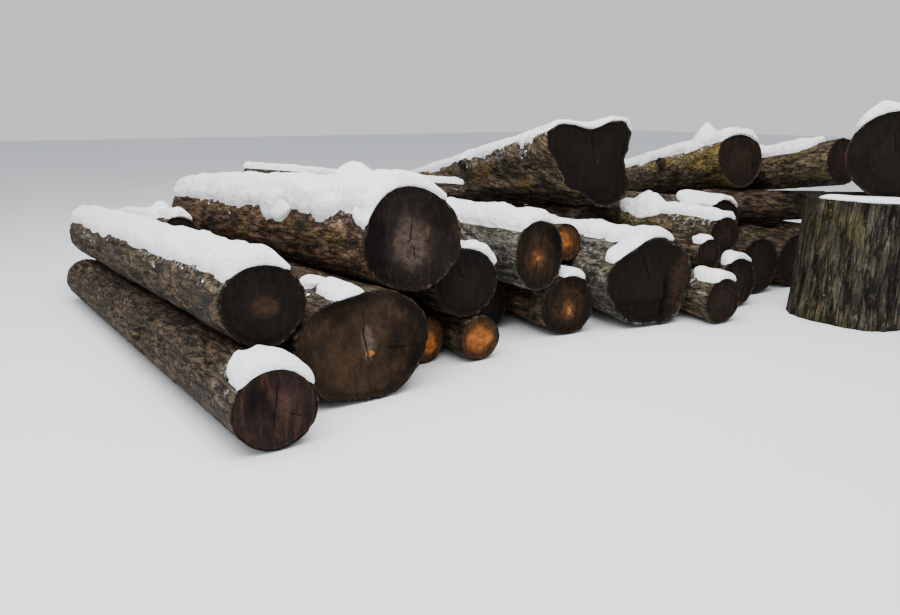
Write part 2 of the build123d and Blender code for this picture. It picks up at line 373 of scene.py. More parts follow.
class Graph(NodeDraft):
    """Builds the nodes of a material."""

    def __init__(self, name: str) -> None:
        """Start a material with an empty graph."""
        self.material = bpy.data.materials.new(name)
        self.material.use_nodes = True
        super().__init__(self.material.node_tree)

    def place(self) -> Socket:
        """Place in the object, in metres."""
        return self.add("ShaderNodeTexCoord").outputs["Object"]

    def attribute(self, name: str) -> Socket:
        """Value of one of the mesh's marks."""
        return self.add("ShaderNodeAttribute", attribute_name=name).outputs["Fac"]

    def surface_uv(self, *scale: float) -> Socket:
        """The mesh's own u and v, each times its scale."""
        uv = self.add("ShaderNodeUVMap", uv_map="Surface").outputs["UV"]
        return self.add(
            "ShaderNodeMapping", {"Vector": uv, "Scale": (*scale, 1.0)}).outputs["Vector"]

    def length(self, vector: Socket) -> Socket:
        """Length of a vector."""
        return self.add("ShaderNodeVectorMath", {0: vector}, operation="LENGTH").outputs["Value"]

    def noise(self, vector: Socket, scale: float, detail: float = 4.0,
              roughness: float = 0.55) -> Socket:
        """Noise over a vector, with values around one half."""
        return self.add("ShaderNodeTexNoise", {
            "Vector": vector, "Scale": scale, "Detail": detail, "Roughness": roughness,
        }).outputs["Fac"]

    def streaks(self, scale: tuple[float, float], detail: float, roughness: float) -> Socket:
        """Noise over the mesh's own u and v."""
        return self.noise(self.surface_uv(*scale), 1.0, detail, roughness)

    def off_centre(self, value: Socket) -> Socket:
        """How far a value is from one half."""
        return self.math("ABSOLUTE", self.math("SUBTRACT", value, 0.5))

    def furrows(self, scale: tuple[float, float], width: float) -> Socket:
        """Thin winding lines, from 0 in them to 1 between them."""
        return self.remap(self.off_centre(self.streaks(scale, 3.0, 0.6)), 0.0, width)

    def remap(self, value: Socket, low: float, high: float, to_low: float = 0.0,
              to_high: float = 1.0) -> Socket:
        """Map the range from low to high to another, clamped."""
        return self.add("ShaderNodeMapRange", {
            "Value": value, "From Min": low, "From Max": high,
            "To Min": to_low, "To Max": to_high}).outputs["Result"]

    def ramp(self, value: Socket, stops: list[tuple[float, Colour]]) -> Socket:
        """Colour ramp.

        Args:
            value: Where on the ramp.
            stops: Places and colours.

        Returns:
            The colour.
        """
        node = self.add("ShaderNodeValToRGB", {"Fac": value})
        elements = node.color_ramp.elements
        while len(elements) < len(stops):
            elements.new(0.5)
        for element, (place, colour) in zip(elements, stops):
            element.position = place
            element.color = (*colour, 1.0)
        return node.outputs["Color"]

    def mix(self, share: Number, one: Paint, two: Paint, blend: str = "MIX") -> Socket:
        """Mix two colours.

        Args:
            share: How much of the second.
            one: First colour.
            two: Second colour.
            blend: How they mix.

        Returns:
            The mixed colour.
        """
        inputs = {0: share}
        for index, paint in ((6, one), (7, two)):
            inputs[index] = paint if isinstance(paint, Socket) else (*paint, 1.0)
        node = self.add("ShaderNodeMix", inputs, data_type="RGBA", blend_type=blend)
        return node.outputs[2]

    def darken(self, colour: Paint, share: Socket) -> Socket:
        """Multiply a colour by a grey."""
        return self.mix(1.0, colour, self.combine(share, share, share), "MULTIPLY")

    def bumps(self, *layers: tuple[Socket, float, float]) -> Socket:
        """Normal for layers of relief.

        Args:
            *layers: Height, depth in metres and strength of each.

        Returns:
            The bumped normal.
        """
        inputs = {}
        for height, distance, strength in layers:
            inputs.update({"Height": height, "Distance": distance, "Strength": strength})
            inputs["Normal"] = self.add("ShaderNodeBump", inputs).outputs["Normal"]
        return inputs["Normal"]

    def finish(self, **inputs: Number) -> Material:
        """Close the graph with a Principled shader.

        Args:
            **inputs: Its inputs, with spaces written as underscores.

        Returns:
            The material.
        """
        named = {key.replace("_", " "): value for key, value in inputs.items()}
        shader = self.add("ShaderNodeBsdfPrincipled", named)
        self.add("ShaderNodeOutputMaterial", {"Surface": shader.outputs["BSDF"]})
        return self.material


def brighter(colour: Colour, factor: float) -> Colour:
    """A colour times a factor."""
    return tuple(factor * part for part in colour)


@dataclass(frozen=True)
class BarkFinish:
    """Wet bark: colours of furrows, ridges and moss, how close its furrows run, and the painted
    shade in the furrows.
    """

    furrow: Colour
    ridge: Colour
    lichen: Colour
    moss: Colour = (0.060, 0.046, 0.014)
    lichen_share: float = 0.35
    grain: tuple[float, float] = (20.0, 4.6)

    CRUMB = (0.82, 0.84, 0.87)

    def material(self, name: str) -> Material:
        """Build the material.

        Args:
            name: Its name.

        Returns:
            The bark's material.
        """
        graph = Graph(name)
        place = graph.place()
        across, along = self.grain
        blotches = graph.noise(place, 4.0, 5.0)
        fine = graph.noise(place, 60.0, 6.0, 0.65)
        fibres = graph.streaks((1.6 * across, 1.2 * along), 8.0, 0.65)
        wide = graph.furrows((across, along), 0.055)
        thin = graph.furrows((2.6 * across, 2.4 * along), 0.09)
        plates = graph.math("ADD", graph.times(graph.attribute("relief"), 0.55),
                            graph.times(graph.remap(fibres, 0.34, 0.66), 0.5))
        colour = graph.ramp(plates, [(0.15, self.furrow), (0.55, self.ridge),
                                     (1.0, brighter(self.ridge, 1.8))])
        spots = graph.remap(graph.noise(place, 17.0, 6.0, 0.7), 0.55, 0.62)
        colour = graph.mix(graph.times(spots, self.lichen_share), colour, self.lichen)
        tufts = graph.mix(graph.noise(place, 95.0, 4.0), self.moss, brighter(self.moss, 2.4))
        moss = graph.times(graph.attribute("moss"), graph.remap(fine, 0.40, 0.52))
        colour = graph.mix(moss, colour, tufts)
        # Painted shade: the colour is darkened in the wide and thin furrows, and varied by random
        # blotches.
        deep = graph.times(graph.remap(wide, 0.0, 1.0, 0.18, 1.0),
                           graph.remap(thin, 0.0, 1.0, 0.45, 1.0))
        shade = graph.times(deep, graph.remap(blotches, 0.35, 0.62, 0.5, 1.2))
        colour = graph.darken(colour, shade)
        crumbs = graph.remap(graph.noise(place, 30.0, 6.0, 0.70), 0.53, 0.58)
        dust = graph.times(graph.attribute("dust"), crumbs)
        colour = graph.mix(dust, colour, self.CRUMB)
        normal = graph.bumps((wide, 0.012, 0.9), (thin, 0.005, 0.8), (fine, 0.004, 0.7),
                             (dust, 0.004, 0.8))
        wet = graph.remap(blotches, 0.3, 0.7, 0.6, 0.95)
        return graph.finish(Base_Color=colour, Roughness=wet, Normal=normal, IOR=1.4,
                            Specular_IOR_Level=0.18)


@dataclass(frozen=True)
class WoodFinish:
    """Sawn end: sapwood, heart, the patch in it, the stains and the rings."""

    sap: Colour
    heart: Colour
    patch: Colour
    stain: Colour = (0.005, 0.004, 0.003)
    streak: Colour = (0.045, 0.022, 0.012)
    heart_edge: float = 0.5
    stain_share: float = 0.6
    ring_contrast: float = 0.35
    rays: float = 0.3

    FRESH = (0.42, 0.15, 0.035)
    CRACK = (0.003, 0.0024, 0.002)

    def material(self, name: str) -> Material:
        """Build the material.

        Args:
            name: Its name.

        Returns:
            The sawn end's material.
        """
        graph = Graph(name)
        flat = graph.surface_uv(1.0, 1.0)
        warp = graph.noise(flat, 7.0, 3.0)
        warped = graph.math("ADD", graph.length(flat), graph.times(warp, 0.045))
        rings = graph.noise(graph.combine(graph.times(warped, 95.0)), 1.0, 3.0, 0.6)
        edge = graph.math("ADD", graph.attribute("rim"), graph.remap(warp, 0.2, 0.8, -0.15, 0.15))
        inside = graph.remap(edge, self.heart_edge - 0.08, self.heart_edge + 0.08, 1.0, 0.0)
        colour = graph.mix(inside, self.sap, self.heart)
        colour = graph.darken(colour, graph.remap(
            rings, 0.35, 0.65, 1 - self.ring_contrast, 1 + self.ring_contrast))
        drips = graph.streaks((30.0, 4.0), 6.0, 0.65)
        colour = graph.mix(graph.remap(drips, 0.49, 0.68, 0.0, 0.65), colour, self.streak)
        blotches = graph.streaks((9.0, 4.5), 8.0, 0.72)
        flecks = graph.streaks((90.0, 26.0), 4.0, 0.7)
        colour = graph.mix(graph.remap(flecks, 0.56, 0.72, 0.0, 0.35), colour, self.patch)
        colour = graph.darken(colour, graph.remap(flecks, 0.28, 0.46, 0.45, 1.0))
        stains = graph.times(graph.remap(blotches, 0.42, 0.62), self.stain_share)
        colour = graph.mix(stains, colour, self.stain)
        specks = graph.noise(flat, 130.0, 3.0, 0.7)
        worn = graph.remap(graph.streaks((22.0, 30.0), 6.0, 0.65), 0.34, 0.62, 0.1, 1.0)
        worn = graph.times(graph.attribute(Tone.WORN.value), worn)
        colour = graph.mix(worn, colour, self.patch)
        colour = graph.mix(graph.attribute(Tone.FRESH.value), colour, self.FRESH)
        # Painted shade: the colour is darkened down to a quarter over the DARK patches on one side
        # of the sawn end.
        shade = graph.times(graph.attribute(Tone.DARK.value),
                            graph.remap(blotches, 0.35, 0.55, 0.55, 1.0))
        colour = graph.darken(colour, graph.remap(shade, 0.0, 1.0, 1.0, 0.25))
        split = self._cracks(graph, flat)
        colour = graph.mix(split, colour, self.CRACK)
        saw = graph.add("ShaderNodeTexWave", {
            "Vector": graph.surface_uv(0.9, 4.2), "Scale": 9.0, "Distortion": 2.5,
            "Detail": 2.0}, wave_type="BANDS", bands_direction="Y").outputs["Fac"]
        normal = graph.bumps((saw, 0.003, 0.6), (blotches, 0.010, 0.5), (rings, 0.0025, 0.4),
                             (specks, 0.002, 0.6),
                             (graph.remap(split, 0.0, 1.0, 1.0, 0.0), 0.012, 0.8))
        wet = graph.remap(blotches, 0.4, 0.65, 0.9, 0.6)
        return graph.finish(Base_Color=colour, Roughness=wet, Normal=normal, IOR=1.4,
                            Specular_IOR_Level=0.10)

    def _cracks(self, graph: Graph, flat: Socket) -> Socket:
        """Thin dark cracks: those marked on the mesh, and fine checks out from the pith.

        Args:
            graph: The graph being built.
            flat: Place on the sawn end.

        Returns:
            0 for whole wood to 1 in a crack.
        """
        shake = graph.remap(graph.noise(flat, 60.0, 3.0), 0.2, 0.8, -0.004, 0.004)
        parts = graph.add("ShaderNodeSeparateXYZ", {0: flat}).outputs
        angle = graph.math("ARCTAN2", parts["Y"], parts["X"])
        distance = graph.length(flat)
        polar = graph.combine(graph.times(angle, 2.6), graph.times(distance, 4.0))
        rays = graph.times(graph.off_centre(graph.noise(polar, 1.6, 2.0, 0.5)), distance)
        fine = graph.remap(rays, 0.0003, 0.0011, self.rays, 0.0)
        total = graph.times(fine, graph.remap(graph.attribute("rim"), 0.15, 0.3))
        for mark in GAP_MARKS:
            away = graph.math("ABSOLUTE", graph.math("ADD", graph.attribute(mark), shake))
            total = graph.math("MAXIMUM", total, graph.remap(away, 0.0012, 0.0048, 1.0, 0.0))
        return total


@dataclass(frozen=True)
class SnowFinish:
    """Settled snow, with a few specks of dirt."""

    shade: Colour = (0.90, 0.905, 0.915)
    bright: Colour = (0.95, 0.953, 0.955)
    dirt: Colour = (0.12, 0.09, 0.06)

    def material(self, name: str) -> Material:
        """Build the material.

        Args:
            name: Its name.

        Returns:
            The snow's material.
        """
        graph = Graph(name)
        place = graph.place()
        soft = graph.noise(place, 7.0, 4.0)
        grains = graph.noise(place, 240.0, 3.0, 0.7)
        crust = graph.noise(place, 42.0, 5.0, 0.6)
        colour = graph.mix(graph.remap(soft, 0.35, 0.65), self.shade, self.bright)
        specks = graph.remap(graph.noise(place, 75.0, 2.0, 0.5), 0.73, 0.78, 0.0, 0.5)
        colour = graph.mix(specks, colour, self.dirt)
        normal = graph.bumps((graph.noise(place, 13.0, 3.0), 0.05, 0.6), (crust, 0.022, 0.8),
                             (grains, 0.003, 0.7))
        return graph.finish(Base_Color=colour, Roughness=0.75, Normal=normal, IOR=1.31,
                            Specular_IOR_Level=0.25, Subsurface_Weight=0.25,
                            Subsurface_Scale=0.02)


@dataclass(frozen=True)
class MossFinish:
    """Moss cushions."""

    dark: Colour = (0.022, 0.017, 0.005)
    middle: Colour = (0.085, 0.064, 0.016)
    bright: Colour = (0.17, 0.130, 0.034)

    def material(self, name: str) -> Material:
        """Build the material.

        Args:
            name: Its name.

        Returns:
            The moss's material.
        """
        graph = Graph(name)
        place = graph.place()
        colour = graph.ramp(graph.noise(place, 33.0, 4.0), [
            (0.3, self.dark), (0.52, self.middle), (0.72, self.bright)])
        normal = graph.bumps((graph.noise(place, 420.0, 3.0, 0.7), 0.003, 0.8))
        return graph.finish(Base_Color=colour, Roughness=0.95, Normal=normal,
                            Specular_IOR_Level=0.1)


@dataclass(frozen=True)
class FloorFinish:
    """Plain pale floor."""

    one: Colour = (0.76, 0.765, 0.77)
    two: Colour = (0.80, 0.805, 0.81)

    def material(self, name: str) -> Material:
        """Build the floor's material, under the given name."""
        graph = Graph(name)
        colour = graph.mix(graph.noise(graph.place(), 0.8, 2.0), self.one, self.two)
        return graph.finish(Base_Color=colour, Roughness=0.9, Specular_IOR_Level=0.1)


class Coat(Enum):
    """Colours of bark."""

    DARK = BarkFinish((0.008, 0.005, 0.003), (0.095, 0.064, 0.038), (0.17, 0.15, 0.115))
    REDDISH = BarkFinish((0.012, 0.006, 0.003), (0.140, 0.080, 0.044), (0.20, 0.14, 0.09),
                         moss=(0.085, 0.060, 0.016), grain=(17.0, 3.8))
    OLIVE = BarkFinish((0.012, 0.009, 0.005), (0.135, 0.100, 0.058), (0.22, 0.19, 0.13),
                       moss=(0.130, 0.092, 0.022), grain=(19.0, 5.0))
    RIDGED = BarkFinish((0.012, 0.008, 0.005), (0.185, 0.135, 0.085), (0.27, 0.23, 0.16),
                        moss=(0.165, 0.100, 0.022), grain=(13.0, 4.0))
    ASHEN = BarkFinish((0.012, 0.011, 0.009), (0.150, 0.135, 0.108), (0.26, 0.26, 0.23),
                       lichen_share=0.6, grain=(22.0, 6.0))
    GREY = BarkFinish((0.005, 0.004, 0.003), (0.060, 0.050, 0.034), (0.15, 0.15, 0.11),
                      moss=(0.045, 0.038, 0.014), lichen_share=0.5, grain=(15.0, 2.2))


class Wood(Enum):
    """Colours of sawn ends."""

    DARK = WoodFinish((0.013, 0.009, 0.006), (0.022, 0.014, 0.010), (0.12, 0.10, 0.085),
                      ring_contrast=0.25)
    BLACK = WoodFinish((0.006, 0.005, 0.004), (0.010, 0.0075, 0.0055), (0.050, 0.028, 0.016),
                       streak=(0.020, 0.013, 0.009), ring_contrast=0.25, rays=0.1)
    CHARCOAL = WoodFinish((0.010, 0.0078, 0.0065), (0.020, 0.015, 0.0125), (0.110, 0.080, 0.062),
                          streak=(0.045, 0.022, 0.014), heart_edge=0.62, ring_contrast=0.2,
                          rays=0.1)
    WEATHERED = WoodFinish((0.020, 0.012, 0.007), (0.046, 0.026, 0.014), (0.110, 0.090, 0.072),
                           stain=(0.009, 0.006, 0.0035), streak=(0.024, 0.014, 0.008),
                           heart_edge=0.85, stain_share=0.8, ring_contrast=0.18)
    BROWN = WoodFinish((0.009, 0.006, 0.004), (0.028, 0.0145, 0.0075), (0.130, 0.054, 0.021),
                       stain=(0.005, 0.004, 0.0025), streak=(0.040, 0.020, 0.009),
                       heart_edge=0.66, ring_contrast=0.4)
    ORANGE = WoodFinish((0.030, 0.016, 0.008), (0.065, 0.030, 0.012), (0.38, 0.118, 0.024),
                        stain=(0.026, 0.013, 0.006), streak=(0.12, 0.050, 0.016),
                        heart_edge=0.80, stain_share=0.35, ring_contrast=0.3, rays=0.2)
    PURPLE = WoodFinish((0.024, 0.014, 0.012), (0.050, 0.028, 0.022), (0.080, 0.055, 0.045),
                        streak=(0.100, 0.042, 0.030), ring_contrast=0.2, rays=0.2)


class MaterialShop:
    """All materials of the heap."""

    def __init__(self) -> None:
        """Build every material."""
        self.bark = {coat: coat.value.material(f"bark_{coat.name.lower()}") for coat in Coat}
        self.cut = {wood: wood.value.material(f"cut_{wood.name.lower()}") for wood in Wood}
        self.snow = SnowFinish().material("settled_snow")
        self.moss = MossFinish().material("moss")


@dataclass(frozen=True)
class Crack:
    """A crack across a sawn end. Places are shares of the radius, angles are degrees."""

    angle: float
    start: float = 0.0
    finish: float = 0.8
    width: float = 0.007
    bend: float = 0.0
    side: float = 0.0


@dataclass(frozen=True)
class Patch:
    """A patch in a sawn end: other wood, or painted shade where its tone is DARK. Places and sizes
    are shares of the radius.
    """

    across: float
    above: float
    wide: float
    high: float
    sunk: float = 0.0
    tone: Tone = Tone.WORN
    soft: float = 0.55
    strength: float = 1.0


@dataclass(frozen=True)
class LogLook:
    """How one log looks: its bark, its sawn end and how finely it is made."""

    bark: Bark = Bark.SCALY
    coat: Coat = Coat.DARK
    wood: Wood = Wood.DARK
    fine: bool = False
    moss: float = 0.25
    moss_side: float = 125.0
    skin: float = 0.016
    cracks: tuple[Crack, ...] = ()
    patches: tuple[Patch, ...] = ()
    checks: int = 2
    slope: float = 0.0
    twist: float = 0.0
    step_height: Optional[float] = None
    groove: Optional[float] = None


@dataclass
class Stem:
    """A log's axis, and its radius all along and around, from the thicker end."""

    name: str
    start: Array
    along: Array
    right: Array
    length: float
    radii: Array
    slope: float = 0.0

    # How far from the end an oblique cut reaches, in metres, and the radius of a branch at its
    # root, as a share of its own.
    CUT_REACH = 0.6
    SWELL = 1.35

    def __post_init__(self) -> None:
        """Work out the third direction and the mean radius of the thicker end."""
        self.up = np.cross(self.right, self.along)
        self.girth = float(self.radii[0].mean())

    @classmethod
    def measure(cls, name: str, node: Object, slope: float) -> "Stem":
        """Measure a log from its CAD solid.

        Args:
            name: The log's name.
            node: Its CAD node.
            slope: How far its cut leans back, for each metre across it.

        Returns:
            The measured log.
        """
        points = np.unique(np.round(vertices(node), 5), axis=0)
        middle = points.mean(0)
        upright = name.startswith("upright")
        way = UP if upright else np.linalg.svd(points - middle, full_matrices=False)[2][0]
        for reach in (0.3, 0.12, 0.03, 0.004):
            place = (points - middle) @ way
            low = points[place < place.min() + reach]
            high = points[place > place.max() - reach]
            way = unit(high.mean(0) - low.mean(0))
        ends = [low, high]
        ends.sort(key=lambda end: -np.linalg.norm(end - end.mean(0), axis=1).mean())
        start, finish = ends[0].mean(0), ends[1].mean(0)
        length = float(np.linalg.norm(finish - start))
        along = (finish - start) / length
        right = SIDE if upright else unit(np.cross(along, UP))
        up = np.cross(right, along)
        feet = [start + along * length * share for share in MEASURED_SHARES]
        angles = np.arange(MEASURED_ANGLES) * TURN / MEASURED_ANGLES
        ways = [right * math.cos(angle) + up * math.sin(angle) for angle in angles]
        radii = ray_lengths(node, feet, ways, 0.0)
        radii[radii < 0.01] = np.median(radii)
        return cls(name, start, along, right, length, radii, slope)

    @classmethod
    def branch(cls, name: str, root: Array, tip: Array, beside: Array,
               radius: float, thin: float) -> "Stem":
        """A plain tapered branch.

        Args:
            name: Its name.
            root: Where it starts.
            tip: Where it ends.
            beside: A direction that its right side is square to.
            radius: Its radius in metres.
            thin: Radius at its tip, as a share of that.

        Returns:
            The branch as a log of its own.
        """
        length = float(np.linalg.norm(tip - root))
        along = (tip - root) / length
        taper = np.linspace(cls.SWELL, thin, len(MEASURED_SHARES))[:, None]
        radii = radius * taper * np.ones((1, MEASURED_ANGLES))
        return cls(name, root, along, unit(np.cross(along, beside)), length, radii)

    def without_prong(self) -> "Stem":
        """The log with its skin evened out where a second prong grows out of it."""
        usual = np.median(self.radii, axis=1, keepdims=True)
        return replace(self, radii=np.minimum(self.radii, usual * 1.04))

    def radius(self, share: Array, angle: Array) -> Array:
        """Radius at shares of the length and angles around it.

        Args:
            share: Shares of the length.
            angle: Angles in radians.

        Returns:
            Radii in metres.
        """
        row = np.clip((share - MEASURED_SHARES[0]) / (MEASURED_SHARES[1] - MEASURED_SHARES[0]),
                      0, len(MEASURED_SHARES) - 1.001)
        column = np.mod(angle, TURN) / TURN * MEASURED_ANGLES
        low_row = row.astype(int)
        low_column = column.astype(int)
        row_part, column_part = row - low_row, column - low_column
        one, two = low_column % MEASURED_ANGLES, (low_column + 1) % MEASURED_ANGLES
        near = self.radii[low_row, one] * (1 - column_part) + self.radii[low_row, two] * column_part
        far = (self.radii[low_row + 1, one] * (1 - column_part)
               + self.radii[low_row + 1, two] * column_part)
        return near * (1 - row_part) + far * row_part

    def place(self, share: Array, angle: Array, radius: Array) -> Array:
        """Points around the axis, pushed back where the sawn end is oblique.

        Args:
            share: Shares of the length.
            angle: Angles in radians.
            radius: Distances from the axis.

        Returns:
            Their places.
        """
        fade = np.clip(1 - share * self.length / self.CUT_REACH, 0, 1) ** 1.5
        back = self.slope * fade * np.clip(self.girth - radius * np.cos(angle), 0, None)
        return (self.start + np.multiply.outer(share * self.length + back, self.along)
                + np.multiply.outer(radius * np.cos(angle), self.right)
                + np.multiply.outer(radius * np.sin(angle), self.up))

    def cells(self, share: Array, angle: Array, around: float, run: float
              ) -> Array:
        """Noise cells on the skin, by how many go around it and along a metre of it."""
        return np.stack(
            (np.cos(angle) * around, np.sin(angle) * around, share * self.length * run), -1)


@dataclass(frozen=True)
class SnowSpan:
    """Where snow lies on a log: shares of its length, angles around it and depth."""

    start: float
    finish: float
    right: float
    left: float
    depth: float
    node: Optional[str] = None

    @classmethod
    def measure(cls, node: Object, stem: Stem) -> "SnowSpan":
        """Measure the snow on a log from its CAD node.

        Args:
            node: The snow's CAD node.
            stem: The log under it.

        Returns:
            Where it lies.
        """
        offset = vertices(node) - stem.start
        share = offset @ stem.along / stem.length
        across, above = offset @ stem.right, offset @ stem.up
        angle = np.mod(np.arctan2(above, across) + math.pi / 2, TURN) - math.pi / 2
        over = np.hypot(across, above) - stem.radius(np.clip(share, 0, 1), angle)
        return cls(float(share.min()), float(share.max()), float(angle.min()),
                   float(angle.max()), float(over.max()), node.name)


@dataclass
class LogPiece:
    """One log with furrowed bark and sawn ends.

    Its grid is the columns around it, the rows along it and the rings on its sawn end.
    """

    stem: Stem
    look: LogLook
    seed: int
    shop: MaterialShop
    snow: Optional[SnowSpan] = None
    grid: Optional[tuple[int, int, int]] = None

    # Width of a face around a fine log and of a ring on its sawn end, in metres.
    FACE_WIDTH = 0.0145
    RING_WIDTH = 0.012
    FINE_ROWS = 88
    COARSE_GRID = (64, 40, 10)
    # Shares of the radius: the pith, the edge of the wood, and the rings of bark beyond it.
    PITH = 0.035
    WOOD_EDGE = 0.93
    BARK_RINGS = (0.955, 0.975, 0.99)
    # Rounding at the end of the bark and how far the sawn end lies inside its edge, in metres.
    EASE = 0.006
    TRIM = 0.003
    # Depths in metres: swells of the bark, then hollows, grain and seam of the sawn wood.
    SWELL = 0.006
    HOLLOW = 0.004
    GRAIN = 0.002
    SEAM = 0.006
    # Depths in metres: the step left by the felling cut, its torn edge, and the groove.
    STEP = 0.022
    TEAR = 0.010
    GROOVE = 0.05
    # Width of a short crack, of a crack's sides, and the mark of a place far from any crack.
    CHECK_WIDTH = 0.003
    CRACK_SIDE = 0.012
    AWAY = 0.05
    # How far from the snow its crumbs reach, in metres.
    DUST_REACH = 0.20

    def __post_init__(self) -> None:
        """Start its noise and settle how finely it is made."""
        self.noise = Noise(self.seed)
        self.chance = np.random.default_rng(self.seed)
        girth = self.stem.girth
        around = int(np.clip(TURN * girth / self.FACE_WIDTH, 72, 160))
        across = int(np.clip(girth / self.RING_WIDTH, 12, 32))
        usual = (around, self.FINE_ROWS, across) if self.look.fine else self.COARSE_GRID
        self.columns, self.rows, self.rings = self.grid or usual
        self.turns = np.linspace(0, TURN, self.columns + 1) - math.pi / 2

    def skin(self, share: Array, angle: Array) -> tuple[Array, Array]:
        """Radius of the bark, and how high its ridges stand.

        Args:
            share: Shares of the length.
            angle: Angles in radians.

        Returns:
            Radii, and heights from 0 in the furrows to 1 on the ridges.
        """
        bark, stem = self.look.bark, self.stem
        along = share * stem.length
        sway = self.noise.fractal(stem.cells(share, angle, 2, 2.4), 2) * 0.22
        turn = angle + sway + self.look.twist * along
        cells = np.stack((np.cos(turn) * stem.girth / bark.spacing,
                          np.sin(turn) * stem.girth / bark.spacing, along / bark.run), -1)
        ridges = 1 - np.abs(self.noise.value(cells)) * 1.9
        plates = self.noise.fractal(cells * 1.7 + 31.0, 2)
        relief = np.clip(0.62 * ridges + 0.38 * (0.5 + plates), 0, 1)
        waves = self.noise.fractal(stem.cells(share, angle, 1.5, 1.6) + 7.0, 2)
        radius = stem.radius(share, angle) + bark.depth * (relief - 0.85)
        radius = radius + self.SWELL * (waves - 0.4)
        return radius, relief

    def moss_cover(self, share: Array, angle: Array) -> Array:
        """Where moss grows: on one side of the log, in patches.

        Args:
            share: Shares of the length.
            angle: Angles in radians.

        Returns:
            0 for bare bark to 1 for moss.
        """
        side = 0.5 + 0.5 * np.cos(angle - math.radians(self.look.moss_side))
        patches = self.noise.fractal(self.stem.cells(share, angle, 2.2, 2.6) + 51.0, 3)
        level = 0.92 - 0.85 * self.look.moss
        return smooth_step(level, level + 0.35, 0.55 * side + 0.55 * patches)

    def dust(self, share: Array, angle: Array) -> Array:
        """Where crumbs of snow lie on the bark: along the edges of the snow.

        Args:
            share: Shares of the length.
            angle: Angles in radians.

        Returns:
            0 for bare bark to 1 for the most crumbs.
        """
        span = self.snow
        if span is None:
            return np.zeros_like(share)
        patches = self.noise.fractal(self.stem.cells(share, angle, 3.0, 4.0) + 71.0, 3)
        aside = np.maximum(span.right - angle, angle - span.left) * self.stem.girth
        beyond = np.maximum(span.start - share, share - span.finish) * self.stem.length
        beside = 1 - smooth_step(0.0, self.DUST_REACH, np.maximum(aside, beyond))
        return 0.75 * beside * smooth_step(-0.05, 0.45, patches)

    def cracks(self, near: bool) -> list[Crack]:
        """Cracks of a sawn end: those it is known for, and short ones.

        Args:
            near: Whether it is the thicker end.

        Returns:
            The cracks.
        """
        cracks = list(self.look.cracks) if near else []
        for _ in range(min(self.look.checks, len(GAP_MARKS) - len(cracks))):
            angle = self.chance.uniform(0, 360)
            start = self.chance.uniform(0.1, 0.5)
            finish = self.chance.uniform(0.6, 0.95)
            bend = self.chance.uniform(-0.3, 0.3)
            cracks.append(Crack(angle, start, finish, self.CHECK_WIDTH, bend))
        return cracks

    def face(self, across: Array, above: Array, near: bool) -> tuple[Array, Rows]:
        """How far a sawn end's surface lies behind its plane, and its marks.

        Args:
            across: Places to the right of the pith, in metres.
            above: Places above the pith, in metres.
            near: Whether it is the thicker end.

        Returns:
            Depths and marks.
        """
        girth, look = self.stem.girth, self.look
        points = np.stack((across, above, 0 * across), -1)
        depth = self.HOLLOW * (1 + self.noise.fractal(points * 9.0 + 3.0, 3))
        depth += self.GRAIN * (1 + self.noise.value(points * 55.0))
        marks = {mark: np.zeros_like(across) for mark in MARKS}
        marks.update({mark: np.full_like(across, self.AWAY) for mark in GAP_MARKS})
        for index, crack in enumerate(self.cracks(near)):
            angle = math.radians(crack.angle)
            forward = across * math.cos(angle) + above * math.sin(angle)
            sideways = above * math.cos(angle) - across * math.sin(angle) - crack.side * girth
            sideways = sideways - crack.bend * forward * forward / girth
            sideways += 0.008 * self.noise.line(forward * 22.0 + 60.0 * index, 3)
            reach = forward / girth
            inside = (smooth_step(crack.start - 0.04, crack.start + 0.1, reach)
                      * (1 - smooth_step(crack.finish - 0.3, crack.finish, reach)))
            side = smooth_step(0.0, self.CRACK_SIDE, np.abs(sideways))
            depth += 2.0 * crack.width * inside * (1 - side)
            push = (1 - inside) * self.AWAY
            marks[GAP_MARKS[index]] = (np.abs(sideways) + push) * np.sign(sideways) / (
                crack.width / 0.005)
        # A patch marks other wood, or painted shade over one side of the sawn end where its tone is
        # DARK.
        for patch in look.patches if near else ():
            shift = 0.5 * self.noise.fractal(points * 13.0 + 90.0, 4)
            far = np.hypot((across / girth - patch.across) / patch.wide,
                           (above / girth - patch.above) / patch.high) + shift
            inside = 1 - smooth_step(1 - patch.soft, 1.15, far)
            mark = patch.tone.value
            marks[mark] = np.maximum(marks[mark], patch.strength * inside)
            depth += patch.sunk * inside
        if near and look.step_height is not None:
            line = above / girth - look.step_height + 0.05 * self.noise.line(across * 12.0)
            depth += self.STEP * smooth_step(-0.03, 0.03, -line)
            torn = 0.4 + 0.6 * self.noise.value(points * 80.0)
            depth -= self.TEAR * np.exp(-((line / 0.035) ** 2)) * torn
        if near and look.groove is not None:
            line = across / girth - look.groove + 0.06 * self.noise.line(above * 9.0)
            below = smooth_step(0.35, -0.1, above / girth)
            depth += self.GROOVE * np.exp(-((line / 0.05) ** 2)) * below
        return depth, marks

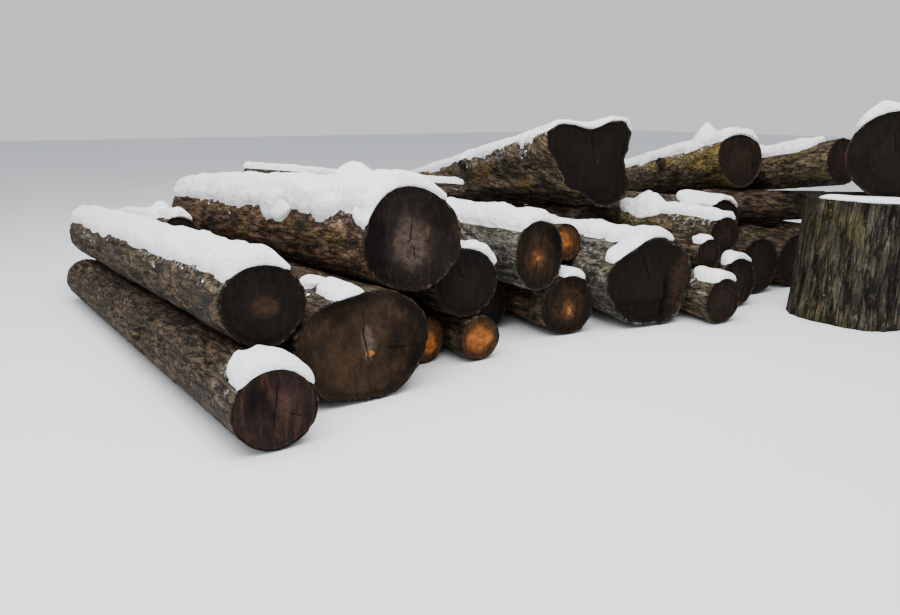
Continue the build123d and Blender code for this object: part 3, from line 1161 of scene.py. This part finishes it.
    def face_rows(self, near: bool) -> Rows:
        """Rings of points over a sawn end, from its pith to its bark.

        Args:
            near: Whether it is the thicker end.

        Returns:
            Points, u v and marks.
        """
        rings = self.rings if near else max(self.rings // 2, 8)
        shares = np.concatenate((np.linspace(self.PITH, self.WOOD_EDGE, rings), self.BARK_RINGS))
        share, turn = np.meshgrid(shares, self.turns, indexing="ij")
        edge, relief = self.skin(np.full_like(turn, 0.0 if near else 1.0), turn)
        edge -= self.TRIM
        skin = self.look.skin / edge
        ring = np.where(share > self.WOOD_EDGE,
                        1 - skin * (1 - (share - self.WOOD_EDGE) / 0.07), share * (1 - skin))
        radius = edge * np.minimum(ring, 0.995)
        across, above = radius * np.cos(turn), radius * np.sin(turn)
        depth, marks = self.face(across, above, near)
        bark = smooth_step(self.WOOD_EDGE, self.BARK_RINGS[0], share)
        depth = depth * (1 - bark) + bark * (0.001 + 0.004 * (1 - relief))
        depth += self.SEAM * np.exp(-(((share - 0.935) / 0.02) ** 2))
        inward = depth / self.stem.length
        points = self.stem.place(inward if near else 1 - inward, turn, radius)
        marks.update(rim=share, points=points, uv=np.stack((across, above), -1))
        return marks

    def bark_rows(self) -> Rows:
        """Rings of points over the bark, from the thicker end to the thinner one.

        Returns:
            Points, u v and marks.
        """
        stem = self.stem
        ease = self.EASE / stem.length
        shares = np.concatenate(((0.3 * ease, ease), np.linspace(0, 1, self.rows)[1:-1],
                                 (1 - ease, 1 - 0.3 * ease)))
        share, turn = np.meshgrid(shares, self.turns, indexing="ij")
        radius, relief = self.skin(share, turn)
        radius[[0, -1]] -= 0.002
        along = share * stem.length
        uv = np.stack(((turn + math.pi / 2 + self.look.twist * along) * stem.girth, along), -1)
        rows = {mark: np.zeros_like(share) for mark in MARKS}
        rows.update(relief=relief, moss=self.moss_cover(share, turn), dust=self.dust(share, turn),
                    points=stem.place(share, turn, radius), uv=uv)
        return rows

    def build(self, name: str, node: Optional[str] = None) -> Object:
        """Build the log.

        Args:
            name: The piece's name.
            node: The CAD node that it replaces, if any.

        Returns:
            The piece.
        """
        near, bark, far = self.face_rows(True), self.bark_rows(), self.face_rows(False)
        rows = {key: np.concatenate((near[key], bark[key], far[key][::-1])) for key in near}
        points, uv = rows.pop("points"), rows.pop("uv")
        material = np.zeros(len(points) - 1, int)
        material[:len(near["rim"]) - len(self.BARK_RINGS)] = 1
        material[len(points) - len(far["rim"]) + len(self.BARK_RINGS):] = 1
        marks = {mark: values[:, :-1] for mark, values in rows.items()}
        draft = MeshDraft(points[:, :-1], uv, marks, material)
        draft.cap(0, material=1)
        draft.cap(-1, material=1)
        piece = draft.build(name, [self.shop.bark[self.look.coat], self.shop.cut[self.look.wood]])
        return declare(piece, node)


@dataclass(frozen=True)
class SnowLook:
    """How snow lies on one log.

    It says how far the snow reaches beyond the CAD solid's edges, in degrees, how far its lobes
    hang down, in radians, and how deep it is against the solid.
    """

    right: float = 0.0
    left: float = 0.0
    lobes: float = 0.45
    depth: float = 1.0


@dataclass
class SnowPiece:
    """Soft snow along the back of a log, with lobes that hang down its flanks."""

    stem: Stem
    span: SnowSpan
    seed: int
    shop: MaterialShop
    look: SnowLook = SnowLook()

    # In metres: how far it hangs over a sawn end, how far its thin edge is drawn back from it,
    # how deep it roots in the log, and how far it is lowered, so that its edges dip into the bark.
    OVERHANG = 0.014
    DRAWN_BACK = 0.02
    ROOT = 0.028
    SINK = 0.003
    # Places of the rows at its lip, and the distance between the rows and between the columns.
    LIP = np.array((0.0, 0.0012, 0.004, 0.009, 0.017, 0.028, 0.043))
    ROW_WIDTH = 0.026
    COLUMN_WIDTH = 0.02

    def __post_init__(self) -> None:
        """Start its noise, and widen and deepen the snow as its look says."""
        self.noise = Noise(self.seed)
        self.span = replace(
            self.span, right=self.span.right - math.radians(self.look.right),
            left=self.span.left + math.radians(self.look.left),
            depth=self.span.depth * self.look.depth)

    def edges(self, along: Array) -> tuple[Array, Array]:
        """Angles of the snow's two edges, which wander and hang down in lobes.

        Args:
            along: Places along the log, in metres.

        Returns:
            The right edge and the left one.
        """
        span, length = self.span, self.stem.length
        lobes = []
        for shift in (0.0, 90.0):
            wander = 0.5 * self.noise.line(along * 2.1 + shift, 3)
            hang = 1.8 * np.clip(self.noise.line(along * 3.4 + 40.0 + shift, 2) - 0.1, 0, 1)
            ragged = 0.12 * self.noise.line(along * 13.0 + 80.0 + shift, 2)
            lobes.append(self.look.lobes * (wander + hang + ragged))
        right, left = span.right - lobes[0], span.left + lobes[1]
        middle, half = (right + left) / 2, (left - right) / 2
        reach = min(0.5 * (span.finish - span.start) * length,
                    0.8 * (span.left - span.right) * self.stem.girth)
        part = np.ones_like(along)
        if span.start > 0.005:
            part = np.minimum(part, (along - span.start * length) / reach)
        if span.finish < 0.995:
            part = np.minimum(part, (span.finish * length - along) / reach)
        half = half * np.sqrt(np.clip(1 - (1 - np.clip(part, 0, 1)) ** 2, 0.03, 1))
        return middle - half, middle + half

    def profile(self, along: Array, angle: Array) -> Array:
        """Cross-section of the snow as a share of its depth, negative outside its edges.

        Args:
            along: Places along the log, in metres.
            angle: Angles in radians.

        Returns:
            Shares of the depth.
        """
        right, left = self.edges(along)
        part = 2 * (angle - right) / (left - right) - 1
        round_over = 1 - np.abs(part) ** 2.6
        return np.clip(np.sign(round_over) * np.abs(round_over) ** 0.6, -0.5, 1)

    def build(self, name: str) -> Object:
        """Build the snow.

        Args:
            name: The piece's name.

        Returns:
            The piece.
        """
        stem, span = self.stem, self.span
        room = (span.finish - span.start) * stem.length
        lip = self.LIP * min(1.0, room / 0.2)
        rows = int(np.clip(room / self.ROW_WIDTH, 6, 130)) + 2
        inner = np.linspace(lip[-1], room - lip[-1], rows)[1:-1]
        offset = np.concatenate((lip, inner, room - lip[::-1]))
        side = self.look.lobes * 2.0 + 0.1
        width = (span.left - span.right + 2 * side) * stem.girth
        columns = int(np.clip(width / self.COLUMN_WIDTH, 16, 56))
        angles = np.linspace(span.right - side, span.left + side, columns)
        reach, angle = np.meshgrid(offset, angles, indexing="ij")
        begin = span.start * stem.length
        profile = self.profile(begin + reach, angle)
        over = (self.OVERHANG + self.DRAWN_BACK) * smooth_step(0.0, 0.6, profile)
        over = (over - self.DRAWN_BACK) * (1 - 2 * reach / room)
        share = (begin + reach - over) / stem.length
        ease = min(0.05, 0.3 * room)
        head, tail = np.clip(reach, 0, ease) / ease, np.clip(room - reach, 0, ease) / ease
        ends = np.sqrt(1 - (1 - head) ** 2) * np.sqrt(1 - (1 - tail) ** 2)
        spots = stem.cells(share, angle, 2.4, 2.6)
        lumps = (1 + 0.45 * self.noise.fractal(spots, 2) + 0.22 * self.noise.value(spots * 2.6)
                 + 0.12 * self.noise.value(spots * 7.0))
        depth = span.depth * profile * lumps
        depth = np.where(depth > 0, depth * ends, depth) - self.SINK
        depth = np.maximum(depth, -0.6 * self.ROOT)
        bark = stem.radius(np.clip(share, 0, 1), angle)
        inside = np.minimum(reach, room - reach)
        sink = np.minimum(-self.SINK - self.ROOT * smooth_step(0.0, 0.04, inside), depth)
        top = stem.place(share, angle, bark + depth)
        under = stem.place(share, angle, bark + sink)
        draft = MeshDraft(np.concatenate((top, under[:, ::-1]), axis=1))
        return declare(draft.build(name, [self.shop.snow]), span.node)


@dataclass
class FlatSnow:
    """Snow on the open part of the upright butt's flat top."""

    node: Object
    seed: int
    shop: MaterialShop
    columns: int = 72
    rings: int = 16

    NODE = "snow_upright_butt"
    RIM = (0.95, 0.98, 0.995, 1.0)
    # How far its surface is lowered, and how far its underside lies in the butt, in metres.
    SINK = 0.002
    UNDER = 0.004

    def build(self) -> Object:
        """Build the snow.

        Returns:
            The piece.
        """
        noise = Noise(self.seed)
        low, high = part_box(self.NODE)
        middle = vertices(self.node).mean(0)
        middle[2] = low.z + 0.25 * (high.z - low.z)
        angles = np.linspace(0, TURN, self.columns, endpoint=False)
        ways = [(math.cos(angle), math.sin(angle), 0.0) for angle in angles]
        reach = ray_lengths(self.node, [middle], ways, 0.05)[0]
        edge = reach * (1.01 + 0.05 * noise.line(angles * 3.0))
        shares = np.concatenate((np.linspace(0.08, 0.9, self.rings - len(self.RIM)), self.RIM))
        share, angle = np.meshgrid(shares, angles, indexing="ij")
        radius = share * edge[None, :]
        x, y = middle[0] + radius * np.cos(angle), middle[1] + radius * np.sin(angle)
        lumps = noise.fractal(np.stack((x * 6, y * 6, 0 * x), -1), 3)
        height = (high.z - low.z) * np.sqrt(np.clip(1 - share**5, 0, 1)) * (1 + 0.22 * lumps)
        draft = MeshDraft(np.stack((x, y, low.z + height - self.SINK), -1))
        draft.cap(0)
        draft.cap(-1, np.array((middle[0], middle[1], low.z - self.UNDER)))
        return declare(draft.build("drift_upright_butt", [self.shop.snow]), self.NODE)


@dataclass(frozen=True)
class Stub:
    """A branch stub: where it grows on its log, in degrees around it, and its sizes in metres."""

    log: str
    share: float
    angle: float
    radius: float
    length: float
    lean: float

    GRID = (40, 10, 8)
    THIN = 0.95

    def branch(self, stem: Stem, seed: int) -> Stem:
        """The stub as a short log of its own.

        Args:
            stem: The log that it grows on.
            seed: Number that its name ends with.

        Returns:
            The stub's axis and radii.
        """
        angle = np.array(math.radians(self.angle))
        share = np.array(self.share)
        skin = float(stem.radius(share, angle))
        root = stem.place(share, angle, np.array(skin - 0.5 * self.radius))
        out = stem.right * math.cos(angle) + stem.up * math.sin(angle)
        way = unit(out + stem.along * self.lean)
        tip = root + way * (self.length + 0.5 * self.radius)
        name = f"stub_{stem.name}_{seed}"
        return Stem.branch(name, root, tip, stem.along, self.radius, self.THIN)


@dataclass(frozen=True)
class Mound:
    """A rounded hump of snow over a knot or stub.

    It holds its share of the log's length, its angle in degrees, and its sizes in metres.
    """

    log: str
    share: float
    angle: float
    radius: float
    height: float
    columns: int = 40
    rings: int = 14

    ROOT = 0.05

    def build(self, stem: Stem, seed: int, shop: MaterialShop) -> Object:
        """Build the hump.

        Args:
            stem: The log under it.
            seed: Number that picks its noise.
            shop: The materials.

        Returns:
            The piece.
        """
        noise = Noise(seed)
        angles = np.linspace(0, TURN, self.columns, endpoint=False)
        ring, around = np.meshgrid(np.linspace(0.06, 1.0, self.rings), angles, indexing="ij")
        wobble = 1 + 0.22 * noise.fractal(stem.cells(0 * around, around, 1.6, 1.0), 2)
        forward = ring * self.radius * wobble * np.cos(around) * 1.5
        aside = ring * self.radius * wobble * np.sin(around)
        share = self.share + forward / stem.length
        middle = math.radians(self.angle)
        angle = middle + aside / stem.radius(share, np.full_like(share, middle))
        lumps = noise.fractal(np.stack((forward * 9.0, aside * 9.0, 0 * aside), -1), 3)
        rise = self.height * (1 - ring) ** 1.5 * (1 + 0.4 * lumps)
        rise = np.where(ring > 0.97, -self.ROOT, rise)
        points = stem.place(share, angle, stem.radius(share, angle) + rise)
        draft = MeshDraft(points[:, ::-1])
        draft.cap(0)
        draft.cap(-1)
        return declare(draft.build(f"hump_{self.log}", [shop.snow]))


class Scatter(NodeDraft):
    """Geometry Nodes that strew small lumps over a surface where it is marked."""

    INPUTS = {"Density": "NodeSocketFloat", "Smallest": "NodeSocketFloat",
              "Largest": "NodeSocketFloat", "Seed": "NodeSocketInt"}
    TILT = 0.3

    def __init__(self, name: str, mark: str, flatness: float,
                 material: Material) -> None:
        """Build the node tree.

        Args:
            name: The tree's name.
            mark: Attribute of the surface that says where lumps lie.
            flatness: Height of a lump as a share of its width.
            material: The lumps' material.
        """
        super().__init__(bpy.data.node_groups.new(name, "GeometryNodeTree"))
        sockets = self.tree.interface
        sockets.new_socket("Surface", in_out="INPUT", socket_type="NodeSocketGeometry")
        self.keys = {}
        for label, kind in self.INPUTS.items():
            socket = sockets.new_socket(label, in_out="INPUT", socket_type=kind)
            self.keys[label] = socket.identifier
        sockets.new_socket("Lumps", in_out="OUTPUT", socket_type="NodeSocketGeometry")
        entry = self.add("NodeGroupInput").outputs
        marked = self.add("GeometryNodeInputNamedAttribute", {"Name": mark}, data_type="FLOAT")
        strewn = self.add("GeometryNodeDistributePointsOnFaces", {
            "Mesh": entry["Surface"], "Seed": entry["Seed"],
            "Density": self.times(marked.outputs["Attribute"], entry["Density"])}).outputs
        lump = self.add("GeometryNodeMeshIcoSphere", {"Radius": 1.0, "Subdivisions": 1})
        size = self.add("FunctionNodeRandomValue", {2: entry["Smallest"], 3: entry["Largest"]},
                        data_type="FLOAT").outputs[1]
        made = self.add("GeometryNodeInstanceOnPoints", {
            "Points": strewn["Points"], "Instance": lump.outputs["Mesh"],
            "Rotation": strewn["Rotation"],
            "Scale": self.combine(size, size, self.times(size, flatness))})
        spin = self.add("FunctionNodeRandomValue", data_type="FLOAT_VECTOR")
        spin.inputs["Min"].default_value = (-self.TILT, -self.TILT, 0.0)
        spin.inputs["Max"].default_value = (self.TILT, self.TILT, TURN)
        made = self.add("GeometryNodeRotateInstances", {
            "Instances": made.outputs[0], "Rotation": spin.outputs[0]})
        for kind in ("RealizeInstances", "SetShadeSmooth", "SetMaterial"):
            made = self.add(f"GeometryNode{kind}", {"Geometry": made.outputs[0]})
        made.inputs["Material"].default_value = material
        self.add("NodeGroupOutput", {"Lumps": made.outputs[0]})

    def strew(self, surface: Object, name: str, slot: str, **values: float) -> None:
        """Args:
            surface: The piece that carries the mark.
            name: The new piece's name.
            slot: Not used.
            **values: Values of the tree's inputs: lumps for each square metre that is fully
                marked, their smallest and largest half width in metres, and the seed.
        """
        carrier = put(name + "_carrier", surface.data.copy())
        modifier = carrier.modifiers.new("Strew", "NODES")
        modifier.node_group = self.tree
        for label, value in values.items():
            modifier[self.keys[label]] = value
        depsgraph = bpy.context.evaluated_depsgraph_get()
        depsgraph.update()
        mesh = bpy.data.meshes.new_from_object(carrier.evaluated_get(depsgraph))
        bpy.data.objects.remove(carrier)
        mesh.name = name
        declare(put(name, mesh))


@dataclass(frozen=True)
class Panel:
    """A square panel of soft light. Places and its side are in metres, its power is in watts."""

    name: str
    place: tuple[float, float, float]
    aim: tuple[float, float, float]
    side: float
    power: float

    def build(self) -> None:
        """Hang the panel."""
        data = bpy.data.lights.new(self.name, "AREA")
        data.shape = "SQUARE"
        data.size = self.side
        data.energy = self.power
        look_at(put(self.name, data), Vector(self.place), Vector(self.aim) - Vector(self.place))


@dataclass(frozen=True)
class Studio:
    """Floor, light and camera."""

    floor_half: float = 40.0
    sky: Colour = (0.90, 0.94, 1.0)
    sky_strength: float = 0.82
    pale: Colour = (0.86, 0.865, 0.87)
    pale_strength: float = 0.95
    panels: tuple[Panel, ...] = (
        Panel("sky_panel", (-2.5, -3.0, 7.5), (0.0, 0.0, 0.4), 8.0, 1450.0),
        Panel("front_panel", (-7.5, -8.0, 4.2), (0.0, -1.0, 0.6), 5.0, 170.0))

    def build(self) -> None:
        """Build the floor, the lights and the camera."""
        self._floor()
        self._world()
        for panel in self.panels:
            panel.build()
        self._camera()

    def _floor(self) -> None:
        """Lay the plain pale floor."""
        half = self.floor_half
        mesh = bpy.data.meshes.new("floor")
        mesh.from_pydata([(-half, -half, 0), (half, -half, 0), (half, half, 0), (-half, half, 0)],
                         [], [(0, 1, 2, 3)])
        mesh.materials.append(FloorFinish().material("floor_finish"))
        put("floor", mesh)

    def _world(self) -> None:
        """Set a pale surround that the camera sees and a soft light from all around."""
        world = bpy.data.worlds.new("surround")
        world.use_nodes = True
        draft = NodeDraft(world.node_tree)
        blend = {0: draft.add("ShaderNodeLightPath").outputs["Is Camera Ray"]}
        for index, colour, strength in ((1, self.sky, self.sky_strength),
                                        (2, self.pale, self.pale_strength)):
            blend[index] = draft.add("ShaderNodeBackground", {
                "Color": (*colour, 1.0), "Strength": strength}).outputs[0]
        mixed = draft.add("ShaderNodeMixShader", blend).outputs[0]
        draft.add("ShaderNodeOutputWorld", {"Surface": mixed})
        bpy.context.scene.world = world

    def _camera(self) -> None:
        """Put the camera where the photo was taken."""
        data = bpy.data.cameras.new("photo_view")
        data.lens = LENS_MM
        data.sensor_width = SENSOR_MM
        data.clip_end = 200.0
        camera = put("photo_view", data)
        level = math.cos(GAZE_TILT)
        look_at(camera, EYE, Vector((math.sin(GAZE_HEADING) * level,
                                     math.cos(GAZE_HEADING) * level, -math.sin(GAZE_TILT))))
        bpy.context.scene.camera = camera


# Patches of Tone.DARK are painted shade over one side of a sawn end.
LOOKS: dict[str, LogLook] = {
    "front_left": LogLook(Bark.SCALY, Coat.DARK, Wood.PURPLE, True, 0.2, slope=0.14,
                          cracks=(Crack(75, 0.0, 0.8, 0.004, 0.2), Crack(262, 0.0, 0.7, 0.004)),
                          patches=(Patch(-0.3, 0.1, 0.4, 0.7, 0.0, Tone.DARK),)),
    "left_upper": LogLook(Bark.FURROWED, Coat.DARK, Wood.BLACK, True, 0.3, slope=0.17,
                          patches=(Patch(0.05, -0.05, 0.30, 0.26, strength=0.8),)),
    "flat_oval": LogLook(Bark.FURROWED, Coat.DARK, Wood.WEATHERED, True, 0.2, slope=0.09,
                         cracks=(Crack(98, -0.3, 0.55, 0.006, 0.15, -0.02),
                                 Crack(-18, 0.3, 1.0, 0.004, 0.2)),
                         patches=(Patch(0.04, 0.06, 0.13, 0.30, 0.006),
                                  Patch(0.07, -0.12, 0.075, 0.05, -0.012, Tone.FRESH, 0.4, 0.7),
                                  Patch(0.75, 0.0, 0.55, 1.1, 0.0, Tone.DARK, 0.8),
                                  Patch(-0.35, 0.75, 0.6, 0.35, 0.0, Tone.DARK, 0.8))),
    "alder_left": LogLook(Bark.SMOOTH, Coat.DARK, Wood.ORANGE, True, 0.15, checks=0,
                          patches=(Patch(0.08, -0.10, 0.40, 0.56, soft=0.25),)),
    "alder_right": LogLook(Bark.SMOOTH, Coat.DARK, Wood.ORANGE, True, 0.15, slope=0.10, checks=1,
                           patches=(Patch(-0.05, 0.02, 0.62, 0.54, soft=0.25),)),
    "shaded": LogLook(Bark.SMOOTH, Coat.DARK, Wood.BLACK),
    "red_heart": LogLook(Bark.SCALY, Coat.DARK, Wood.BROWN, True, 0.2, slope=0.12,
                         cracks=(Crack(40, 0.1, 0.8, 0.003),),
                         patches=(Patch(0.06, -0.15, 0.26, 0.34),
                                  Patch(0.06, -0.20, 0.10, 0.12, -0.004, Tone.FRESH, 0.6, 0.6))),
    "flared_butt": LogLook(Bark.COARSE, Coat.ASHEN, Wood.BLACK, True, 0.35, 150.0, 0.03,
                           cracks=(Crack(110, 0.0, 0.8, 0.006, 0.1),),
                           patches=(Patch(0.75, -0.1, 0.28, 0.8, strength=0.7),),
                           step_height=-0.35, groove=0.42, checks=1, slope=0.09),
    "right_small": LogLook(Bark.SCALY, Coat.OLIVE, moss=0.35),
    "right_low": LogLook(Bark.SCALY, Coat.OLIVE, moss=0.35),
    "right_mid": LogLook(moss=0.3),
    "right_far": LogLook(moss=0.3),
    "right_end": LogLook(moss=0.3),
    "dark_oval": LogLook(Bark.FURROWED, Coat.DARK, Wood.BLACK, True, 0.2, slope=0.16, checks=0,
                         cracks=(Crack(120, 0.1, 0.8, 0.004),)),
    "tall_oval": LogLook(Bark.FURROWED, Coat.ASHEN, Wood.BROWN, True, 0.2, slope=0.13,
                         cracks=(Crack(80, 0.2, 0.9, 0.003), Crack(255, 0.2, 0.9, 0.003)),
                         patches=(Patch(-0.04, -0.05, 0.26, 0.36),
                                  Patch(-0.04, -0.08, 0.08, 0.11, -0.003, Tone.FRESH, 0.6, 0.6),
                                  Patch(0.6, 0.5, 0.5, 0.7, 0.0, Tone.DARK, 0.8))),
    "alder_back": LogLook(Bark.SMOOTH, Coat.DARK, Wood.ORANGE, False, 0.2, checks=1,
                          patches=(Patch(-0.1, 0.0, 0.5, 0.5, soft=0.4),)),
    "top_big": LogLook(Bark.FURROWED, Coat.REDDISH, Wood.CHARCOAL, True, 0.45, 165.0, 0.02,
                       cracks=(Crack(72, -0.15, 0.55, 0.005, 0.5, 0.04),
                               Crack(-75, 0.05, 0.6, 0.004, -0.4)),
                       patches=(Patch(-0.10, -0.10, 0.36, 0.48, 0.006, soft=0.45, strength=0.7),
                                Patch(0.30, 0.12, 0.045, 0.17, 0.0, Tone.FRESH, 0.9, 0.15),
                                Patch(-0.75, 0.0, 0.45, 1.0, 0.0, Tone.DARK, 0.8),
                                Patch(0.6, 0.55, 0.4, 0.5, 0.0, Tone.DARK, 0.8)),
                       checks=1, slope=0.20),
    "left_back": LogLook(),
    "behind": LogLook(),
    "inner": LogLook(),
    "cross_right": LogLook(Bark.SCALY, Coat.OLIVE, moss=0.4, moss_side=160.0),
    "bearer": LogLook(),
    "small_round": LogLook(Bark.SCALY, Coat.OLIVE, moss=0.35, moss_side=160.0),
    "forked_butt": LogLook(Bark.COARSE, Coat.RIDGED, Wood.BLACK, True, 0.62, 140.0, 0.022,
                           twist=0.6, slope=0.08, checks=1,
                           cracks=(Crack(90, 0.05, 0.7, 0.006),),
                           patches=(Patch(0.10, -0.02, 0.035, 0.05, -0.003),)),
    "rear_top": LogLook(Bark.FURROWED, Coat.OLIVE, Wood.DARK, True, 0.6, 170.0),
    "rear_right": LogLook(Bark.SCALY, Coat.OLIVE, Wood.DARK, False, 0.5, 170.0),
    "rear_fork": LogLook(Bark.SMOOTH, moss=0.3),
    "top_right": LogLook(Bark.FURROWED, Coat.REDDISH, Wood.BLACK, True, 0.3, checks=0,
                         cracks=(Crack(100, 0.0, 0.7, 0.004), Crack(-20, 0.1, 0.7, 0.003))),
    "upright_butt": LogLook(Bark.COARSE, Coat.GREY, Wood.DARK, True, 0.45, 200.0),
}

SNOW_LOOKS: dict[str, SnowLook] = {
    "top_big": SnowLook(right=4.0, left=12.0, lobes=0.55, depth=1.15),
    "tall_oval": SnowLook(left=10.0, lobes=0.40, depth=1.15),
    "left_upper": SnowLook(left=4.0, lobes=0.35, depth=1.1),
    "front_left": SnowLook(right=6.0, lobes=0.25, depth=0.8),
    "flared_butt": SnowLook(left=6.0, lobes=0.5),
    "forked_butt": SnowLook(lobes=0.5, depth=0.9),
    "rear_top": SnowLook(lobes=0.4, depth=1.2),
    "rear_right": SnowLook(left=12.0, lobes=0.4, depth=1.2),
}

# Small patches of snow: log, shares of its length, angles in degrees, depth, and their lobes.
SNOW_PATCHES = (
    ("shaded", 0.0, 0.07, 62, 125, 0.045, 0.2),
    ("behind", 0.0, 0.05, 75, 130, 0.03, 0.2),
    ("alder_right", 0.10, 0.3, 70, 120, 0.03, 0.2),
    ("top_big", 0.0, 0.055, 128, 160, 0.040, 0.25),
    ("top_big", 0.30, 0.38, 128, 166, 0.032, 0.3),
    ("flared_butt", 0.0, 0.05, 108, 152, 0.040, 0.25),
    ("rear_right", 0.06, 0.36, 60, 140, 0.055, 0.3),
    ("flat_oval", 0.10, 0.16, 92, 120, 0.035, 0.2),
)

STUBS = (
    Stub("rear_top", 0.30, 158.0, 0.050, 0.085, -0.35),
    Stub("top_big", 0.18, 88.0, 0.050, 0.110, 0.3),
    Stub("flared_butt", 0.34, 150.0, 0.045, 0.060, -0.3),
    Stub("front_left", 0.42, 165.0, 0.035, 0.050, 0.3),
    Stub("forked_butt", 0.50, 160.0, 0.055, 0.070, -0.2),
    Stub("rear_right", 0.55, 150.0, 0.035, 0.050, 0.2),
)

MOUNDS = (
    Mound("top_big", 0.19, 88.0, 0.260, 0.155),
    Mound("rear_top", 0.16, 86.0, 0.260, 0.190),
    Mound("cross_right", 0.36, 90.0, 0.220, 0.165),
    Mound("left_back", 0.30, 80.0, 0.180, 0.120),
)

# Moss cushions on a square metre where the moss is thickest.
MOSS_DENSITY = {"forked_butt": 420.0, "rear_top": 260.0, "top_big": 220.0, "flared_butt": 120.0,
                "upright_butt": 160.0, "rear_right": 160.0}


@dataclass
class Heap:
    """The heap: its logs, their snow, stubs and moss, around the CAD nodes by name."""

    nodes: dict[str, Object]
    shop: MaterialShop
    prong_share: float = 0.52
    crumb_density: float = 150.0
    smallest_lump: float = 0.004
    largest_cushion: float = 0.011
    largest_crumb: float = 0.014

    def __post_init__(self) -> None:
        """Measure every log and the snow on it."""
        self.names = sorted(name for name in self.nodes if not name.startswith("snow_"))
        self.stems = {name: Stem.measure(name, self.nodes[name], LOOKS[name].slope)
                      for name in self.names}
        self.stems["rear_fork"] = self.stems["rear_fork"].without_prong()
        self.stems["prong"] = self._prong()
        self.spans = {log: SnowSpan.measure(self.nodes[f"snow_{log}"], stem)
                      for log, stem in self.stems.items()
                      if f"snow_{log}" in self.nodes and f"snow_{log}" != FlatSnow.NODE}
        self.logs: dict[str, Object] = {}

    def build(self) -> None:
        """Build every piece."""
        for index, name in enumerate(self.names):
            maker = LogPiece(self.stems[name], LOOKS[name], 100 + index, self.shop,
                             self.spans.get(name))
            self.logs[name] = maker.build(f"log_{name}", name)
        prong = LogPiece(self.stems["prong"], LOOKS["rear_fork"], 77, self.shop)
        prong.build("prong_rear_fork")
        for seed, spot in enumerate(STUBS, 300):
            branch = spot.branch(self.stems[spot.log], seed)
            LogPiece(branch, LOOKS[spot.log], seed, self.shop, grid=spot.GRID).build(branch.name)
        self._let_snow_fall()
        self._strew()

    def _prong(self) -> Stem:
        """Measure the second prong of the forked log.

        Returns:
            The prong as a log of its own.
        """
        stem = self.stems["rear_fork"]
        corners = vertices(self.nodes["rear_fork"])
        offset = corners - stem.start
        share = offset @ stem.along / stem.length
        aside = np.linalg.norm(offset - np.outer(share * stem.length, stem.along), axis=1)
        skin = stem.radius(np.clip(share, 0, 1), 0 * share)
        prong = corners[(aside > 1.25 * skin) & (share > self.prong_share)]
        root = stem.start + stem.along * stem.length * self.prong_share
        reach = np.linalg.norm(prong - root, axis=1)
        tip = np.unique(np.round(prong[reach > reach.max() - 0.05], 4), axis=0)
        middle = tip.mean(0)
        radius = float(np.linalg.norm(tip - middle, axis=1).mean())
        return Stem.branch("prong", root, middle, UP, radius, 1.0)

    def _let_snow_fall(self) -> None:
        """Build the snow."""
        for seed, name in enumerate(sorted(self.nodes), 400):
            log = name.removeprefix("snow_")
            if name == FlatSnow.NODE:
                FlatSnow(self.nodes[name], 400, self.shop).build()
            elif log != name:
                SnowPiece(self.stems[log], self.spans[log], seed, self.shop,
                          SNOW_LOOKS.get(log, SnowLook())).build(f"drift_{log}")
        for index, (log, start, finish, right, left, depth, lobes) in enumerate(SNOW_PATCHES):
            span = SnowSpan(start, finish, math.radians(right), math.radians(left), depth)
            SnowPiece(self.stems[log], span, 500 + index, self.shop,
                      SnowLook(lobes=lobes)).build(f"patch_{log}_{index}")
        for seed, mound in enumerate(MOUNDS, 550):
            mound.build(self.stems[mound.log], seed, self.shop)

    def _strew(self) -> None:
        """Strew moss cushions over the mossy logs and crumbs of snow beside the snow."""
        moss = Scatter("moss_cushions", "moss", 0.4, self.shop.moss)
        for seed, (name, density) in enumerate(MOSS_DENSITY.items(), 600):
            moss.strew(self.logs[name], f"moss_{name}", WOOD_SLOT, Density=density,
                       Smallest=self.smallest_lump, Largest=self.largest_cushion, Seed=seed)
        crumbs = Scatter("snow_crumbs", "dust", 0.6, self.shop.snow)
        for seed, name in enumerate((name for name in self.names if LOOKS[name].fine), 700):
            if name in self.spans:
                crumbs.strew(self.logs[name], f"crumbs_{name}", SNOW_SLOT,
                             Density=self.crumb_density, Smallest=self.smallest_lump,
                             Largest=self.largest_crumb, Seed=seed)


def main() -> None:
    """Build the looks of the heap."""
    logging.basicConfig(level=logging.INFO, format="%(message)s")
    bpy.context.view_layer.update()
    shop = MaterialShop()
    Heap(frame["nodes"], shop).build()
    Studio().build()


if __name__ == "__main__":
    main()
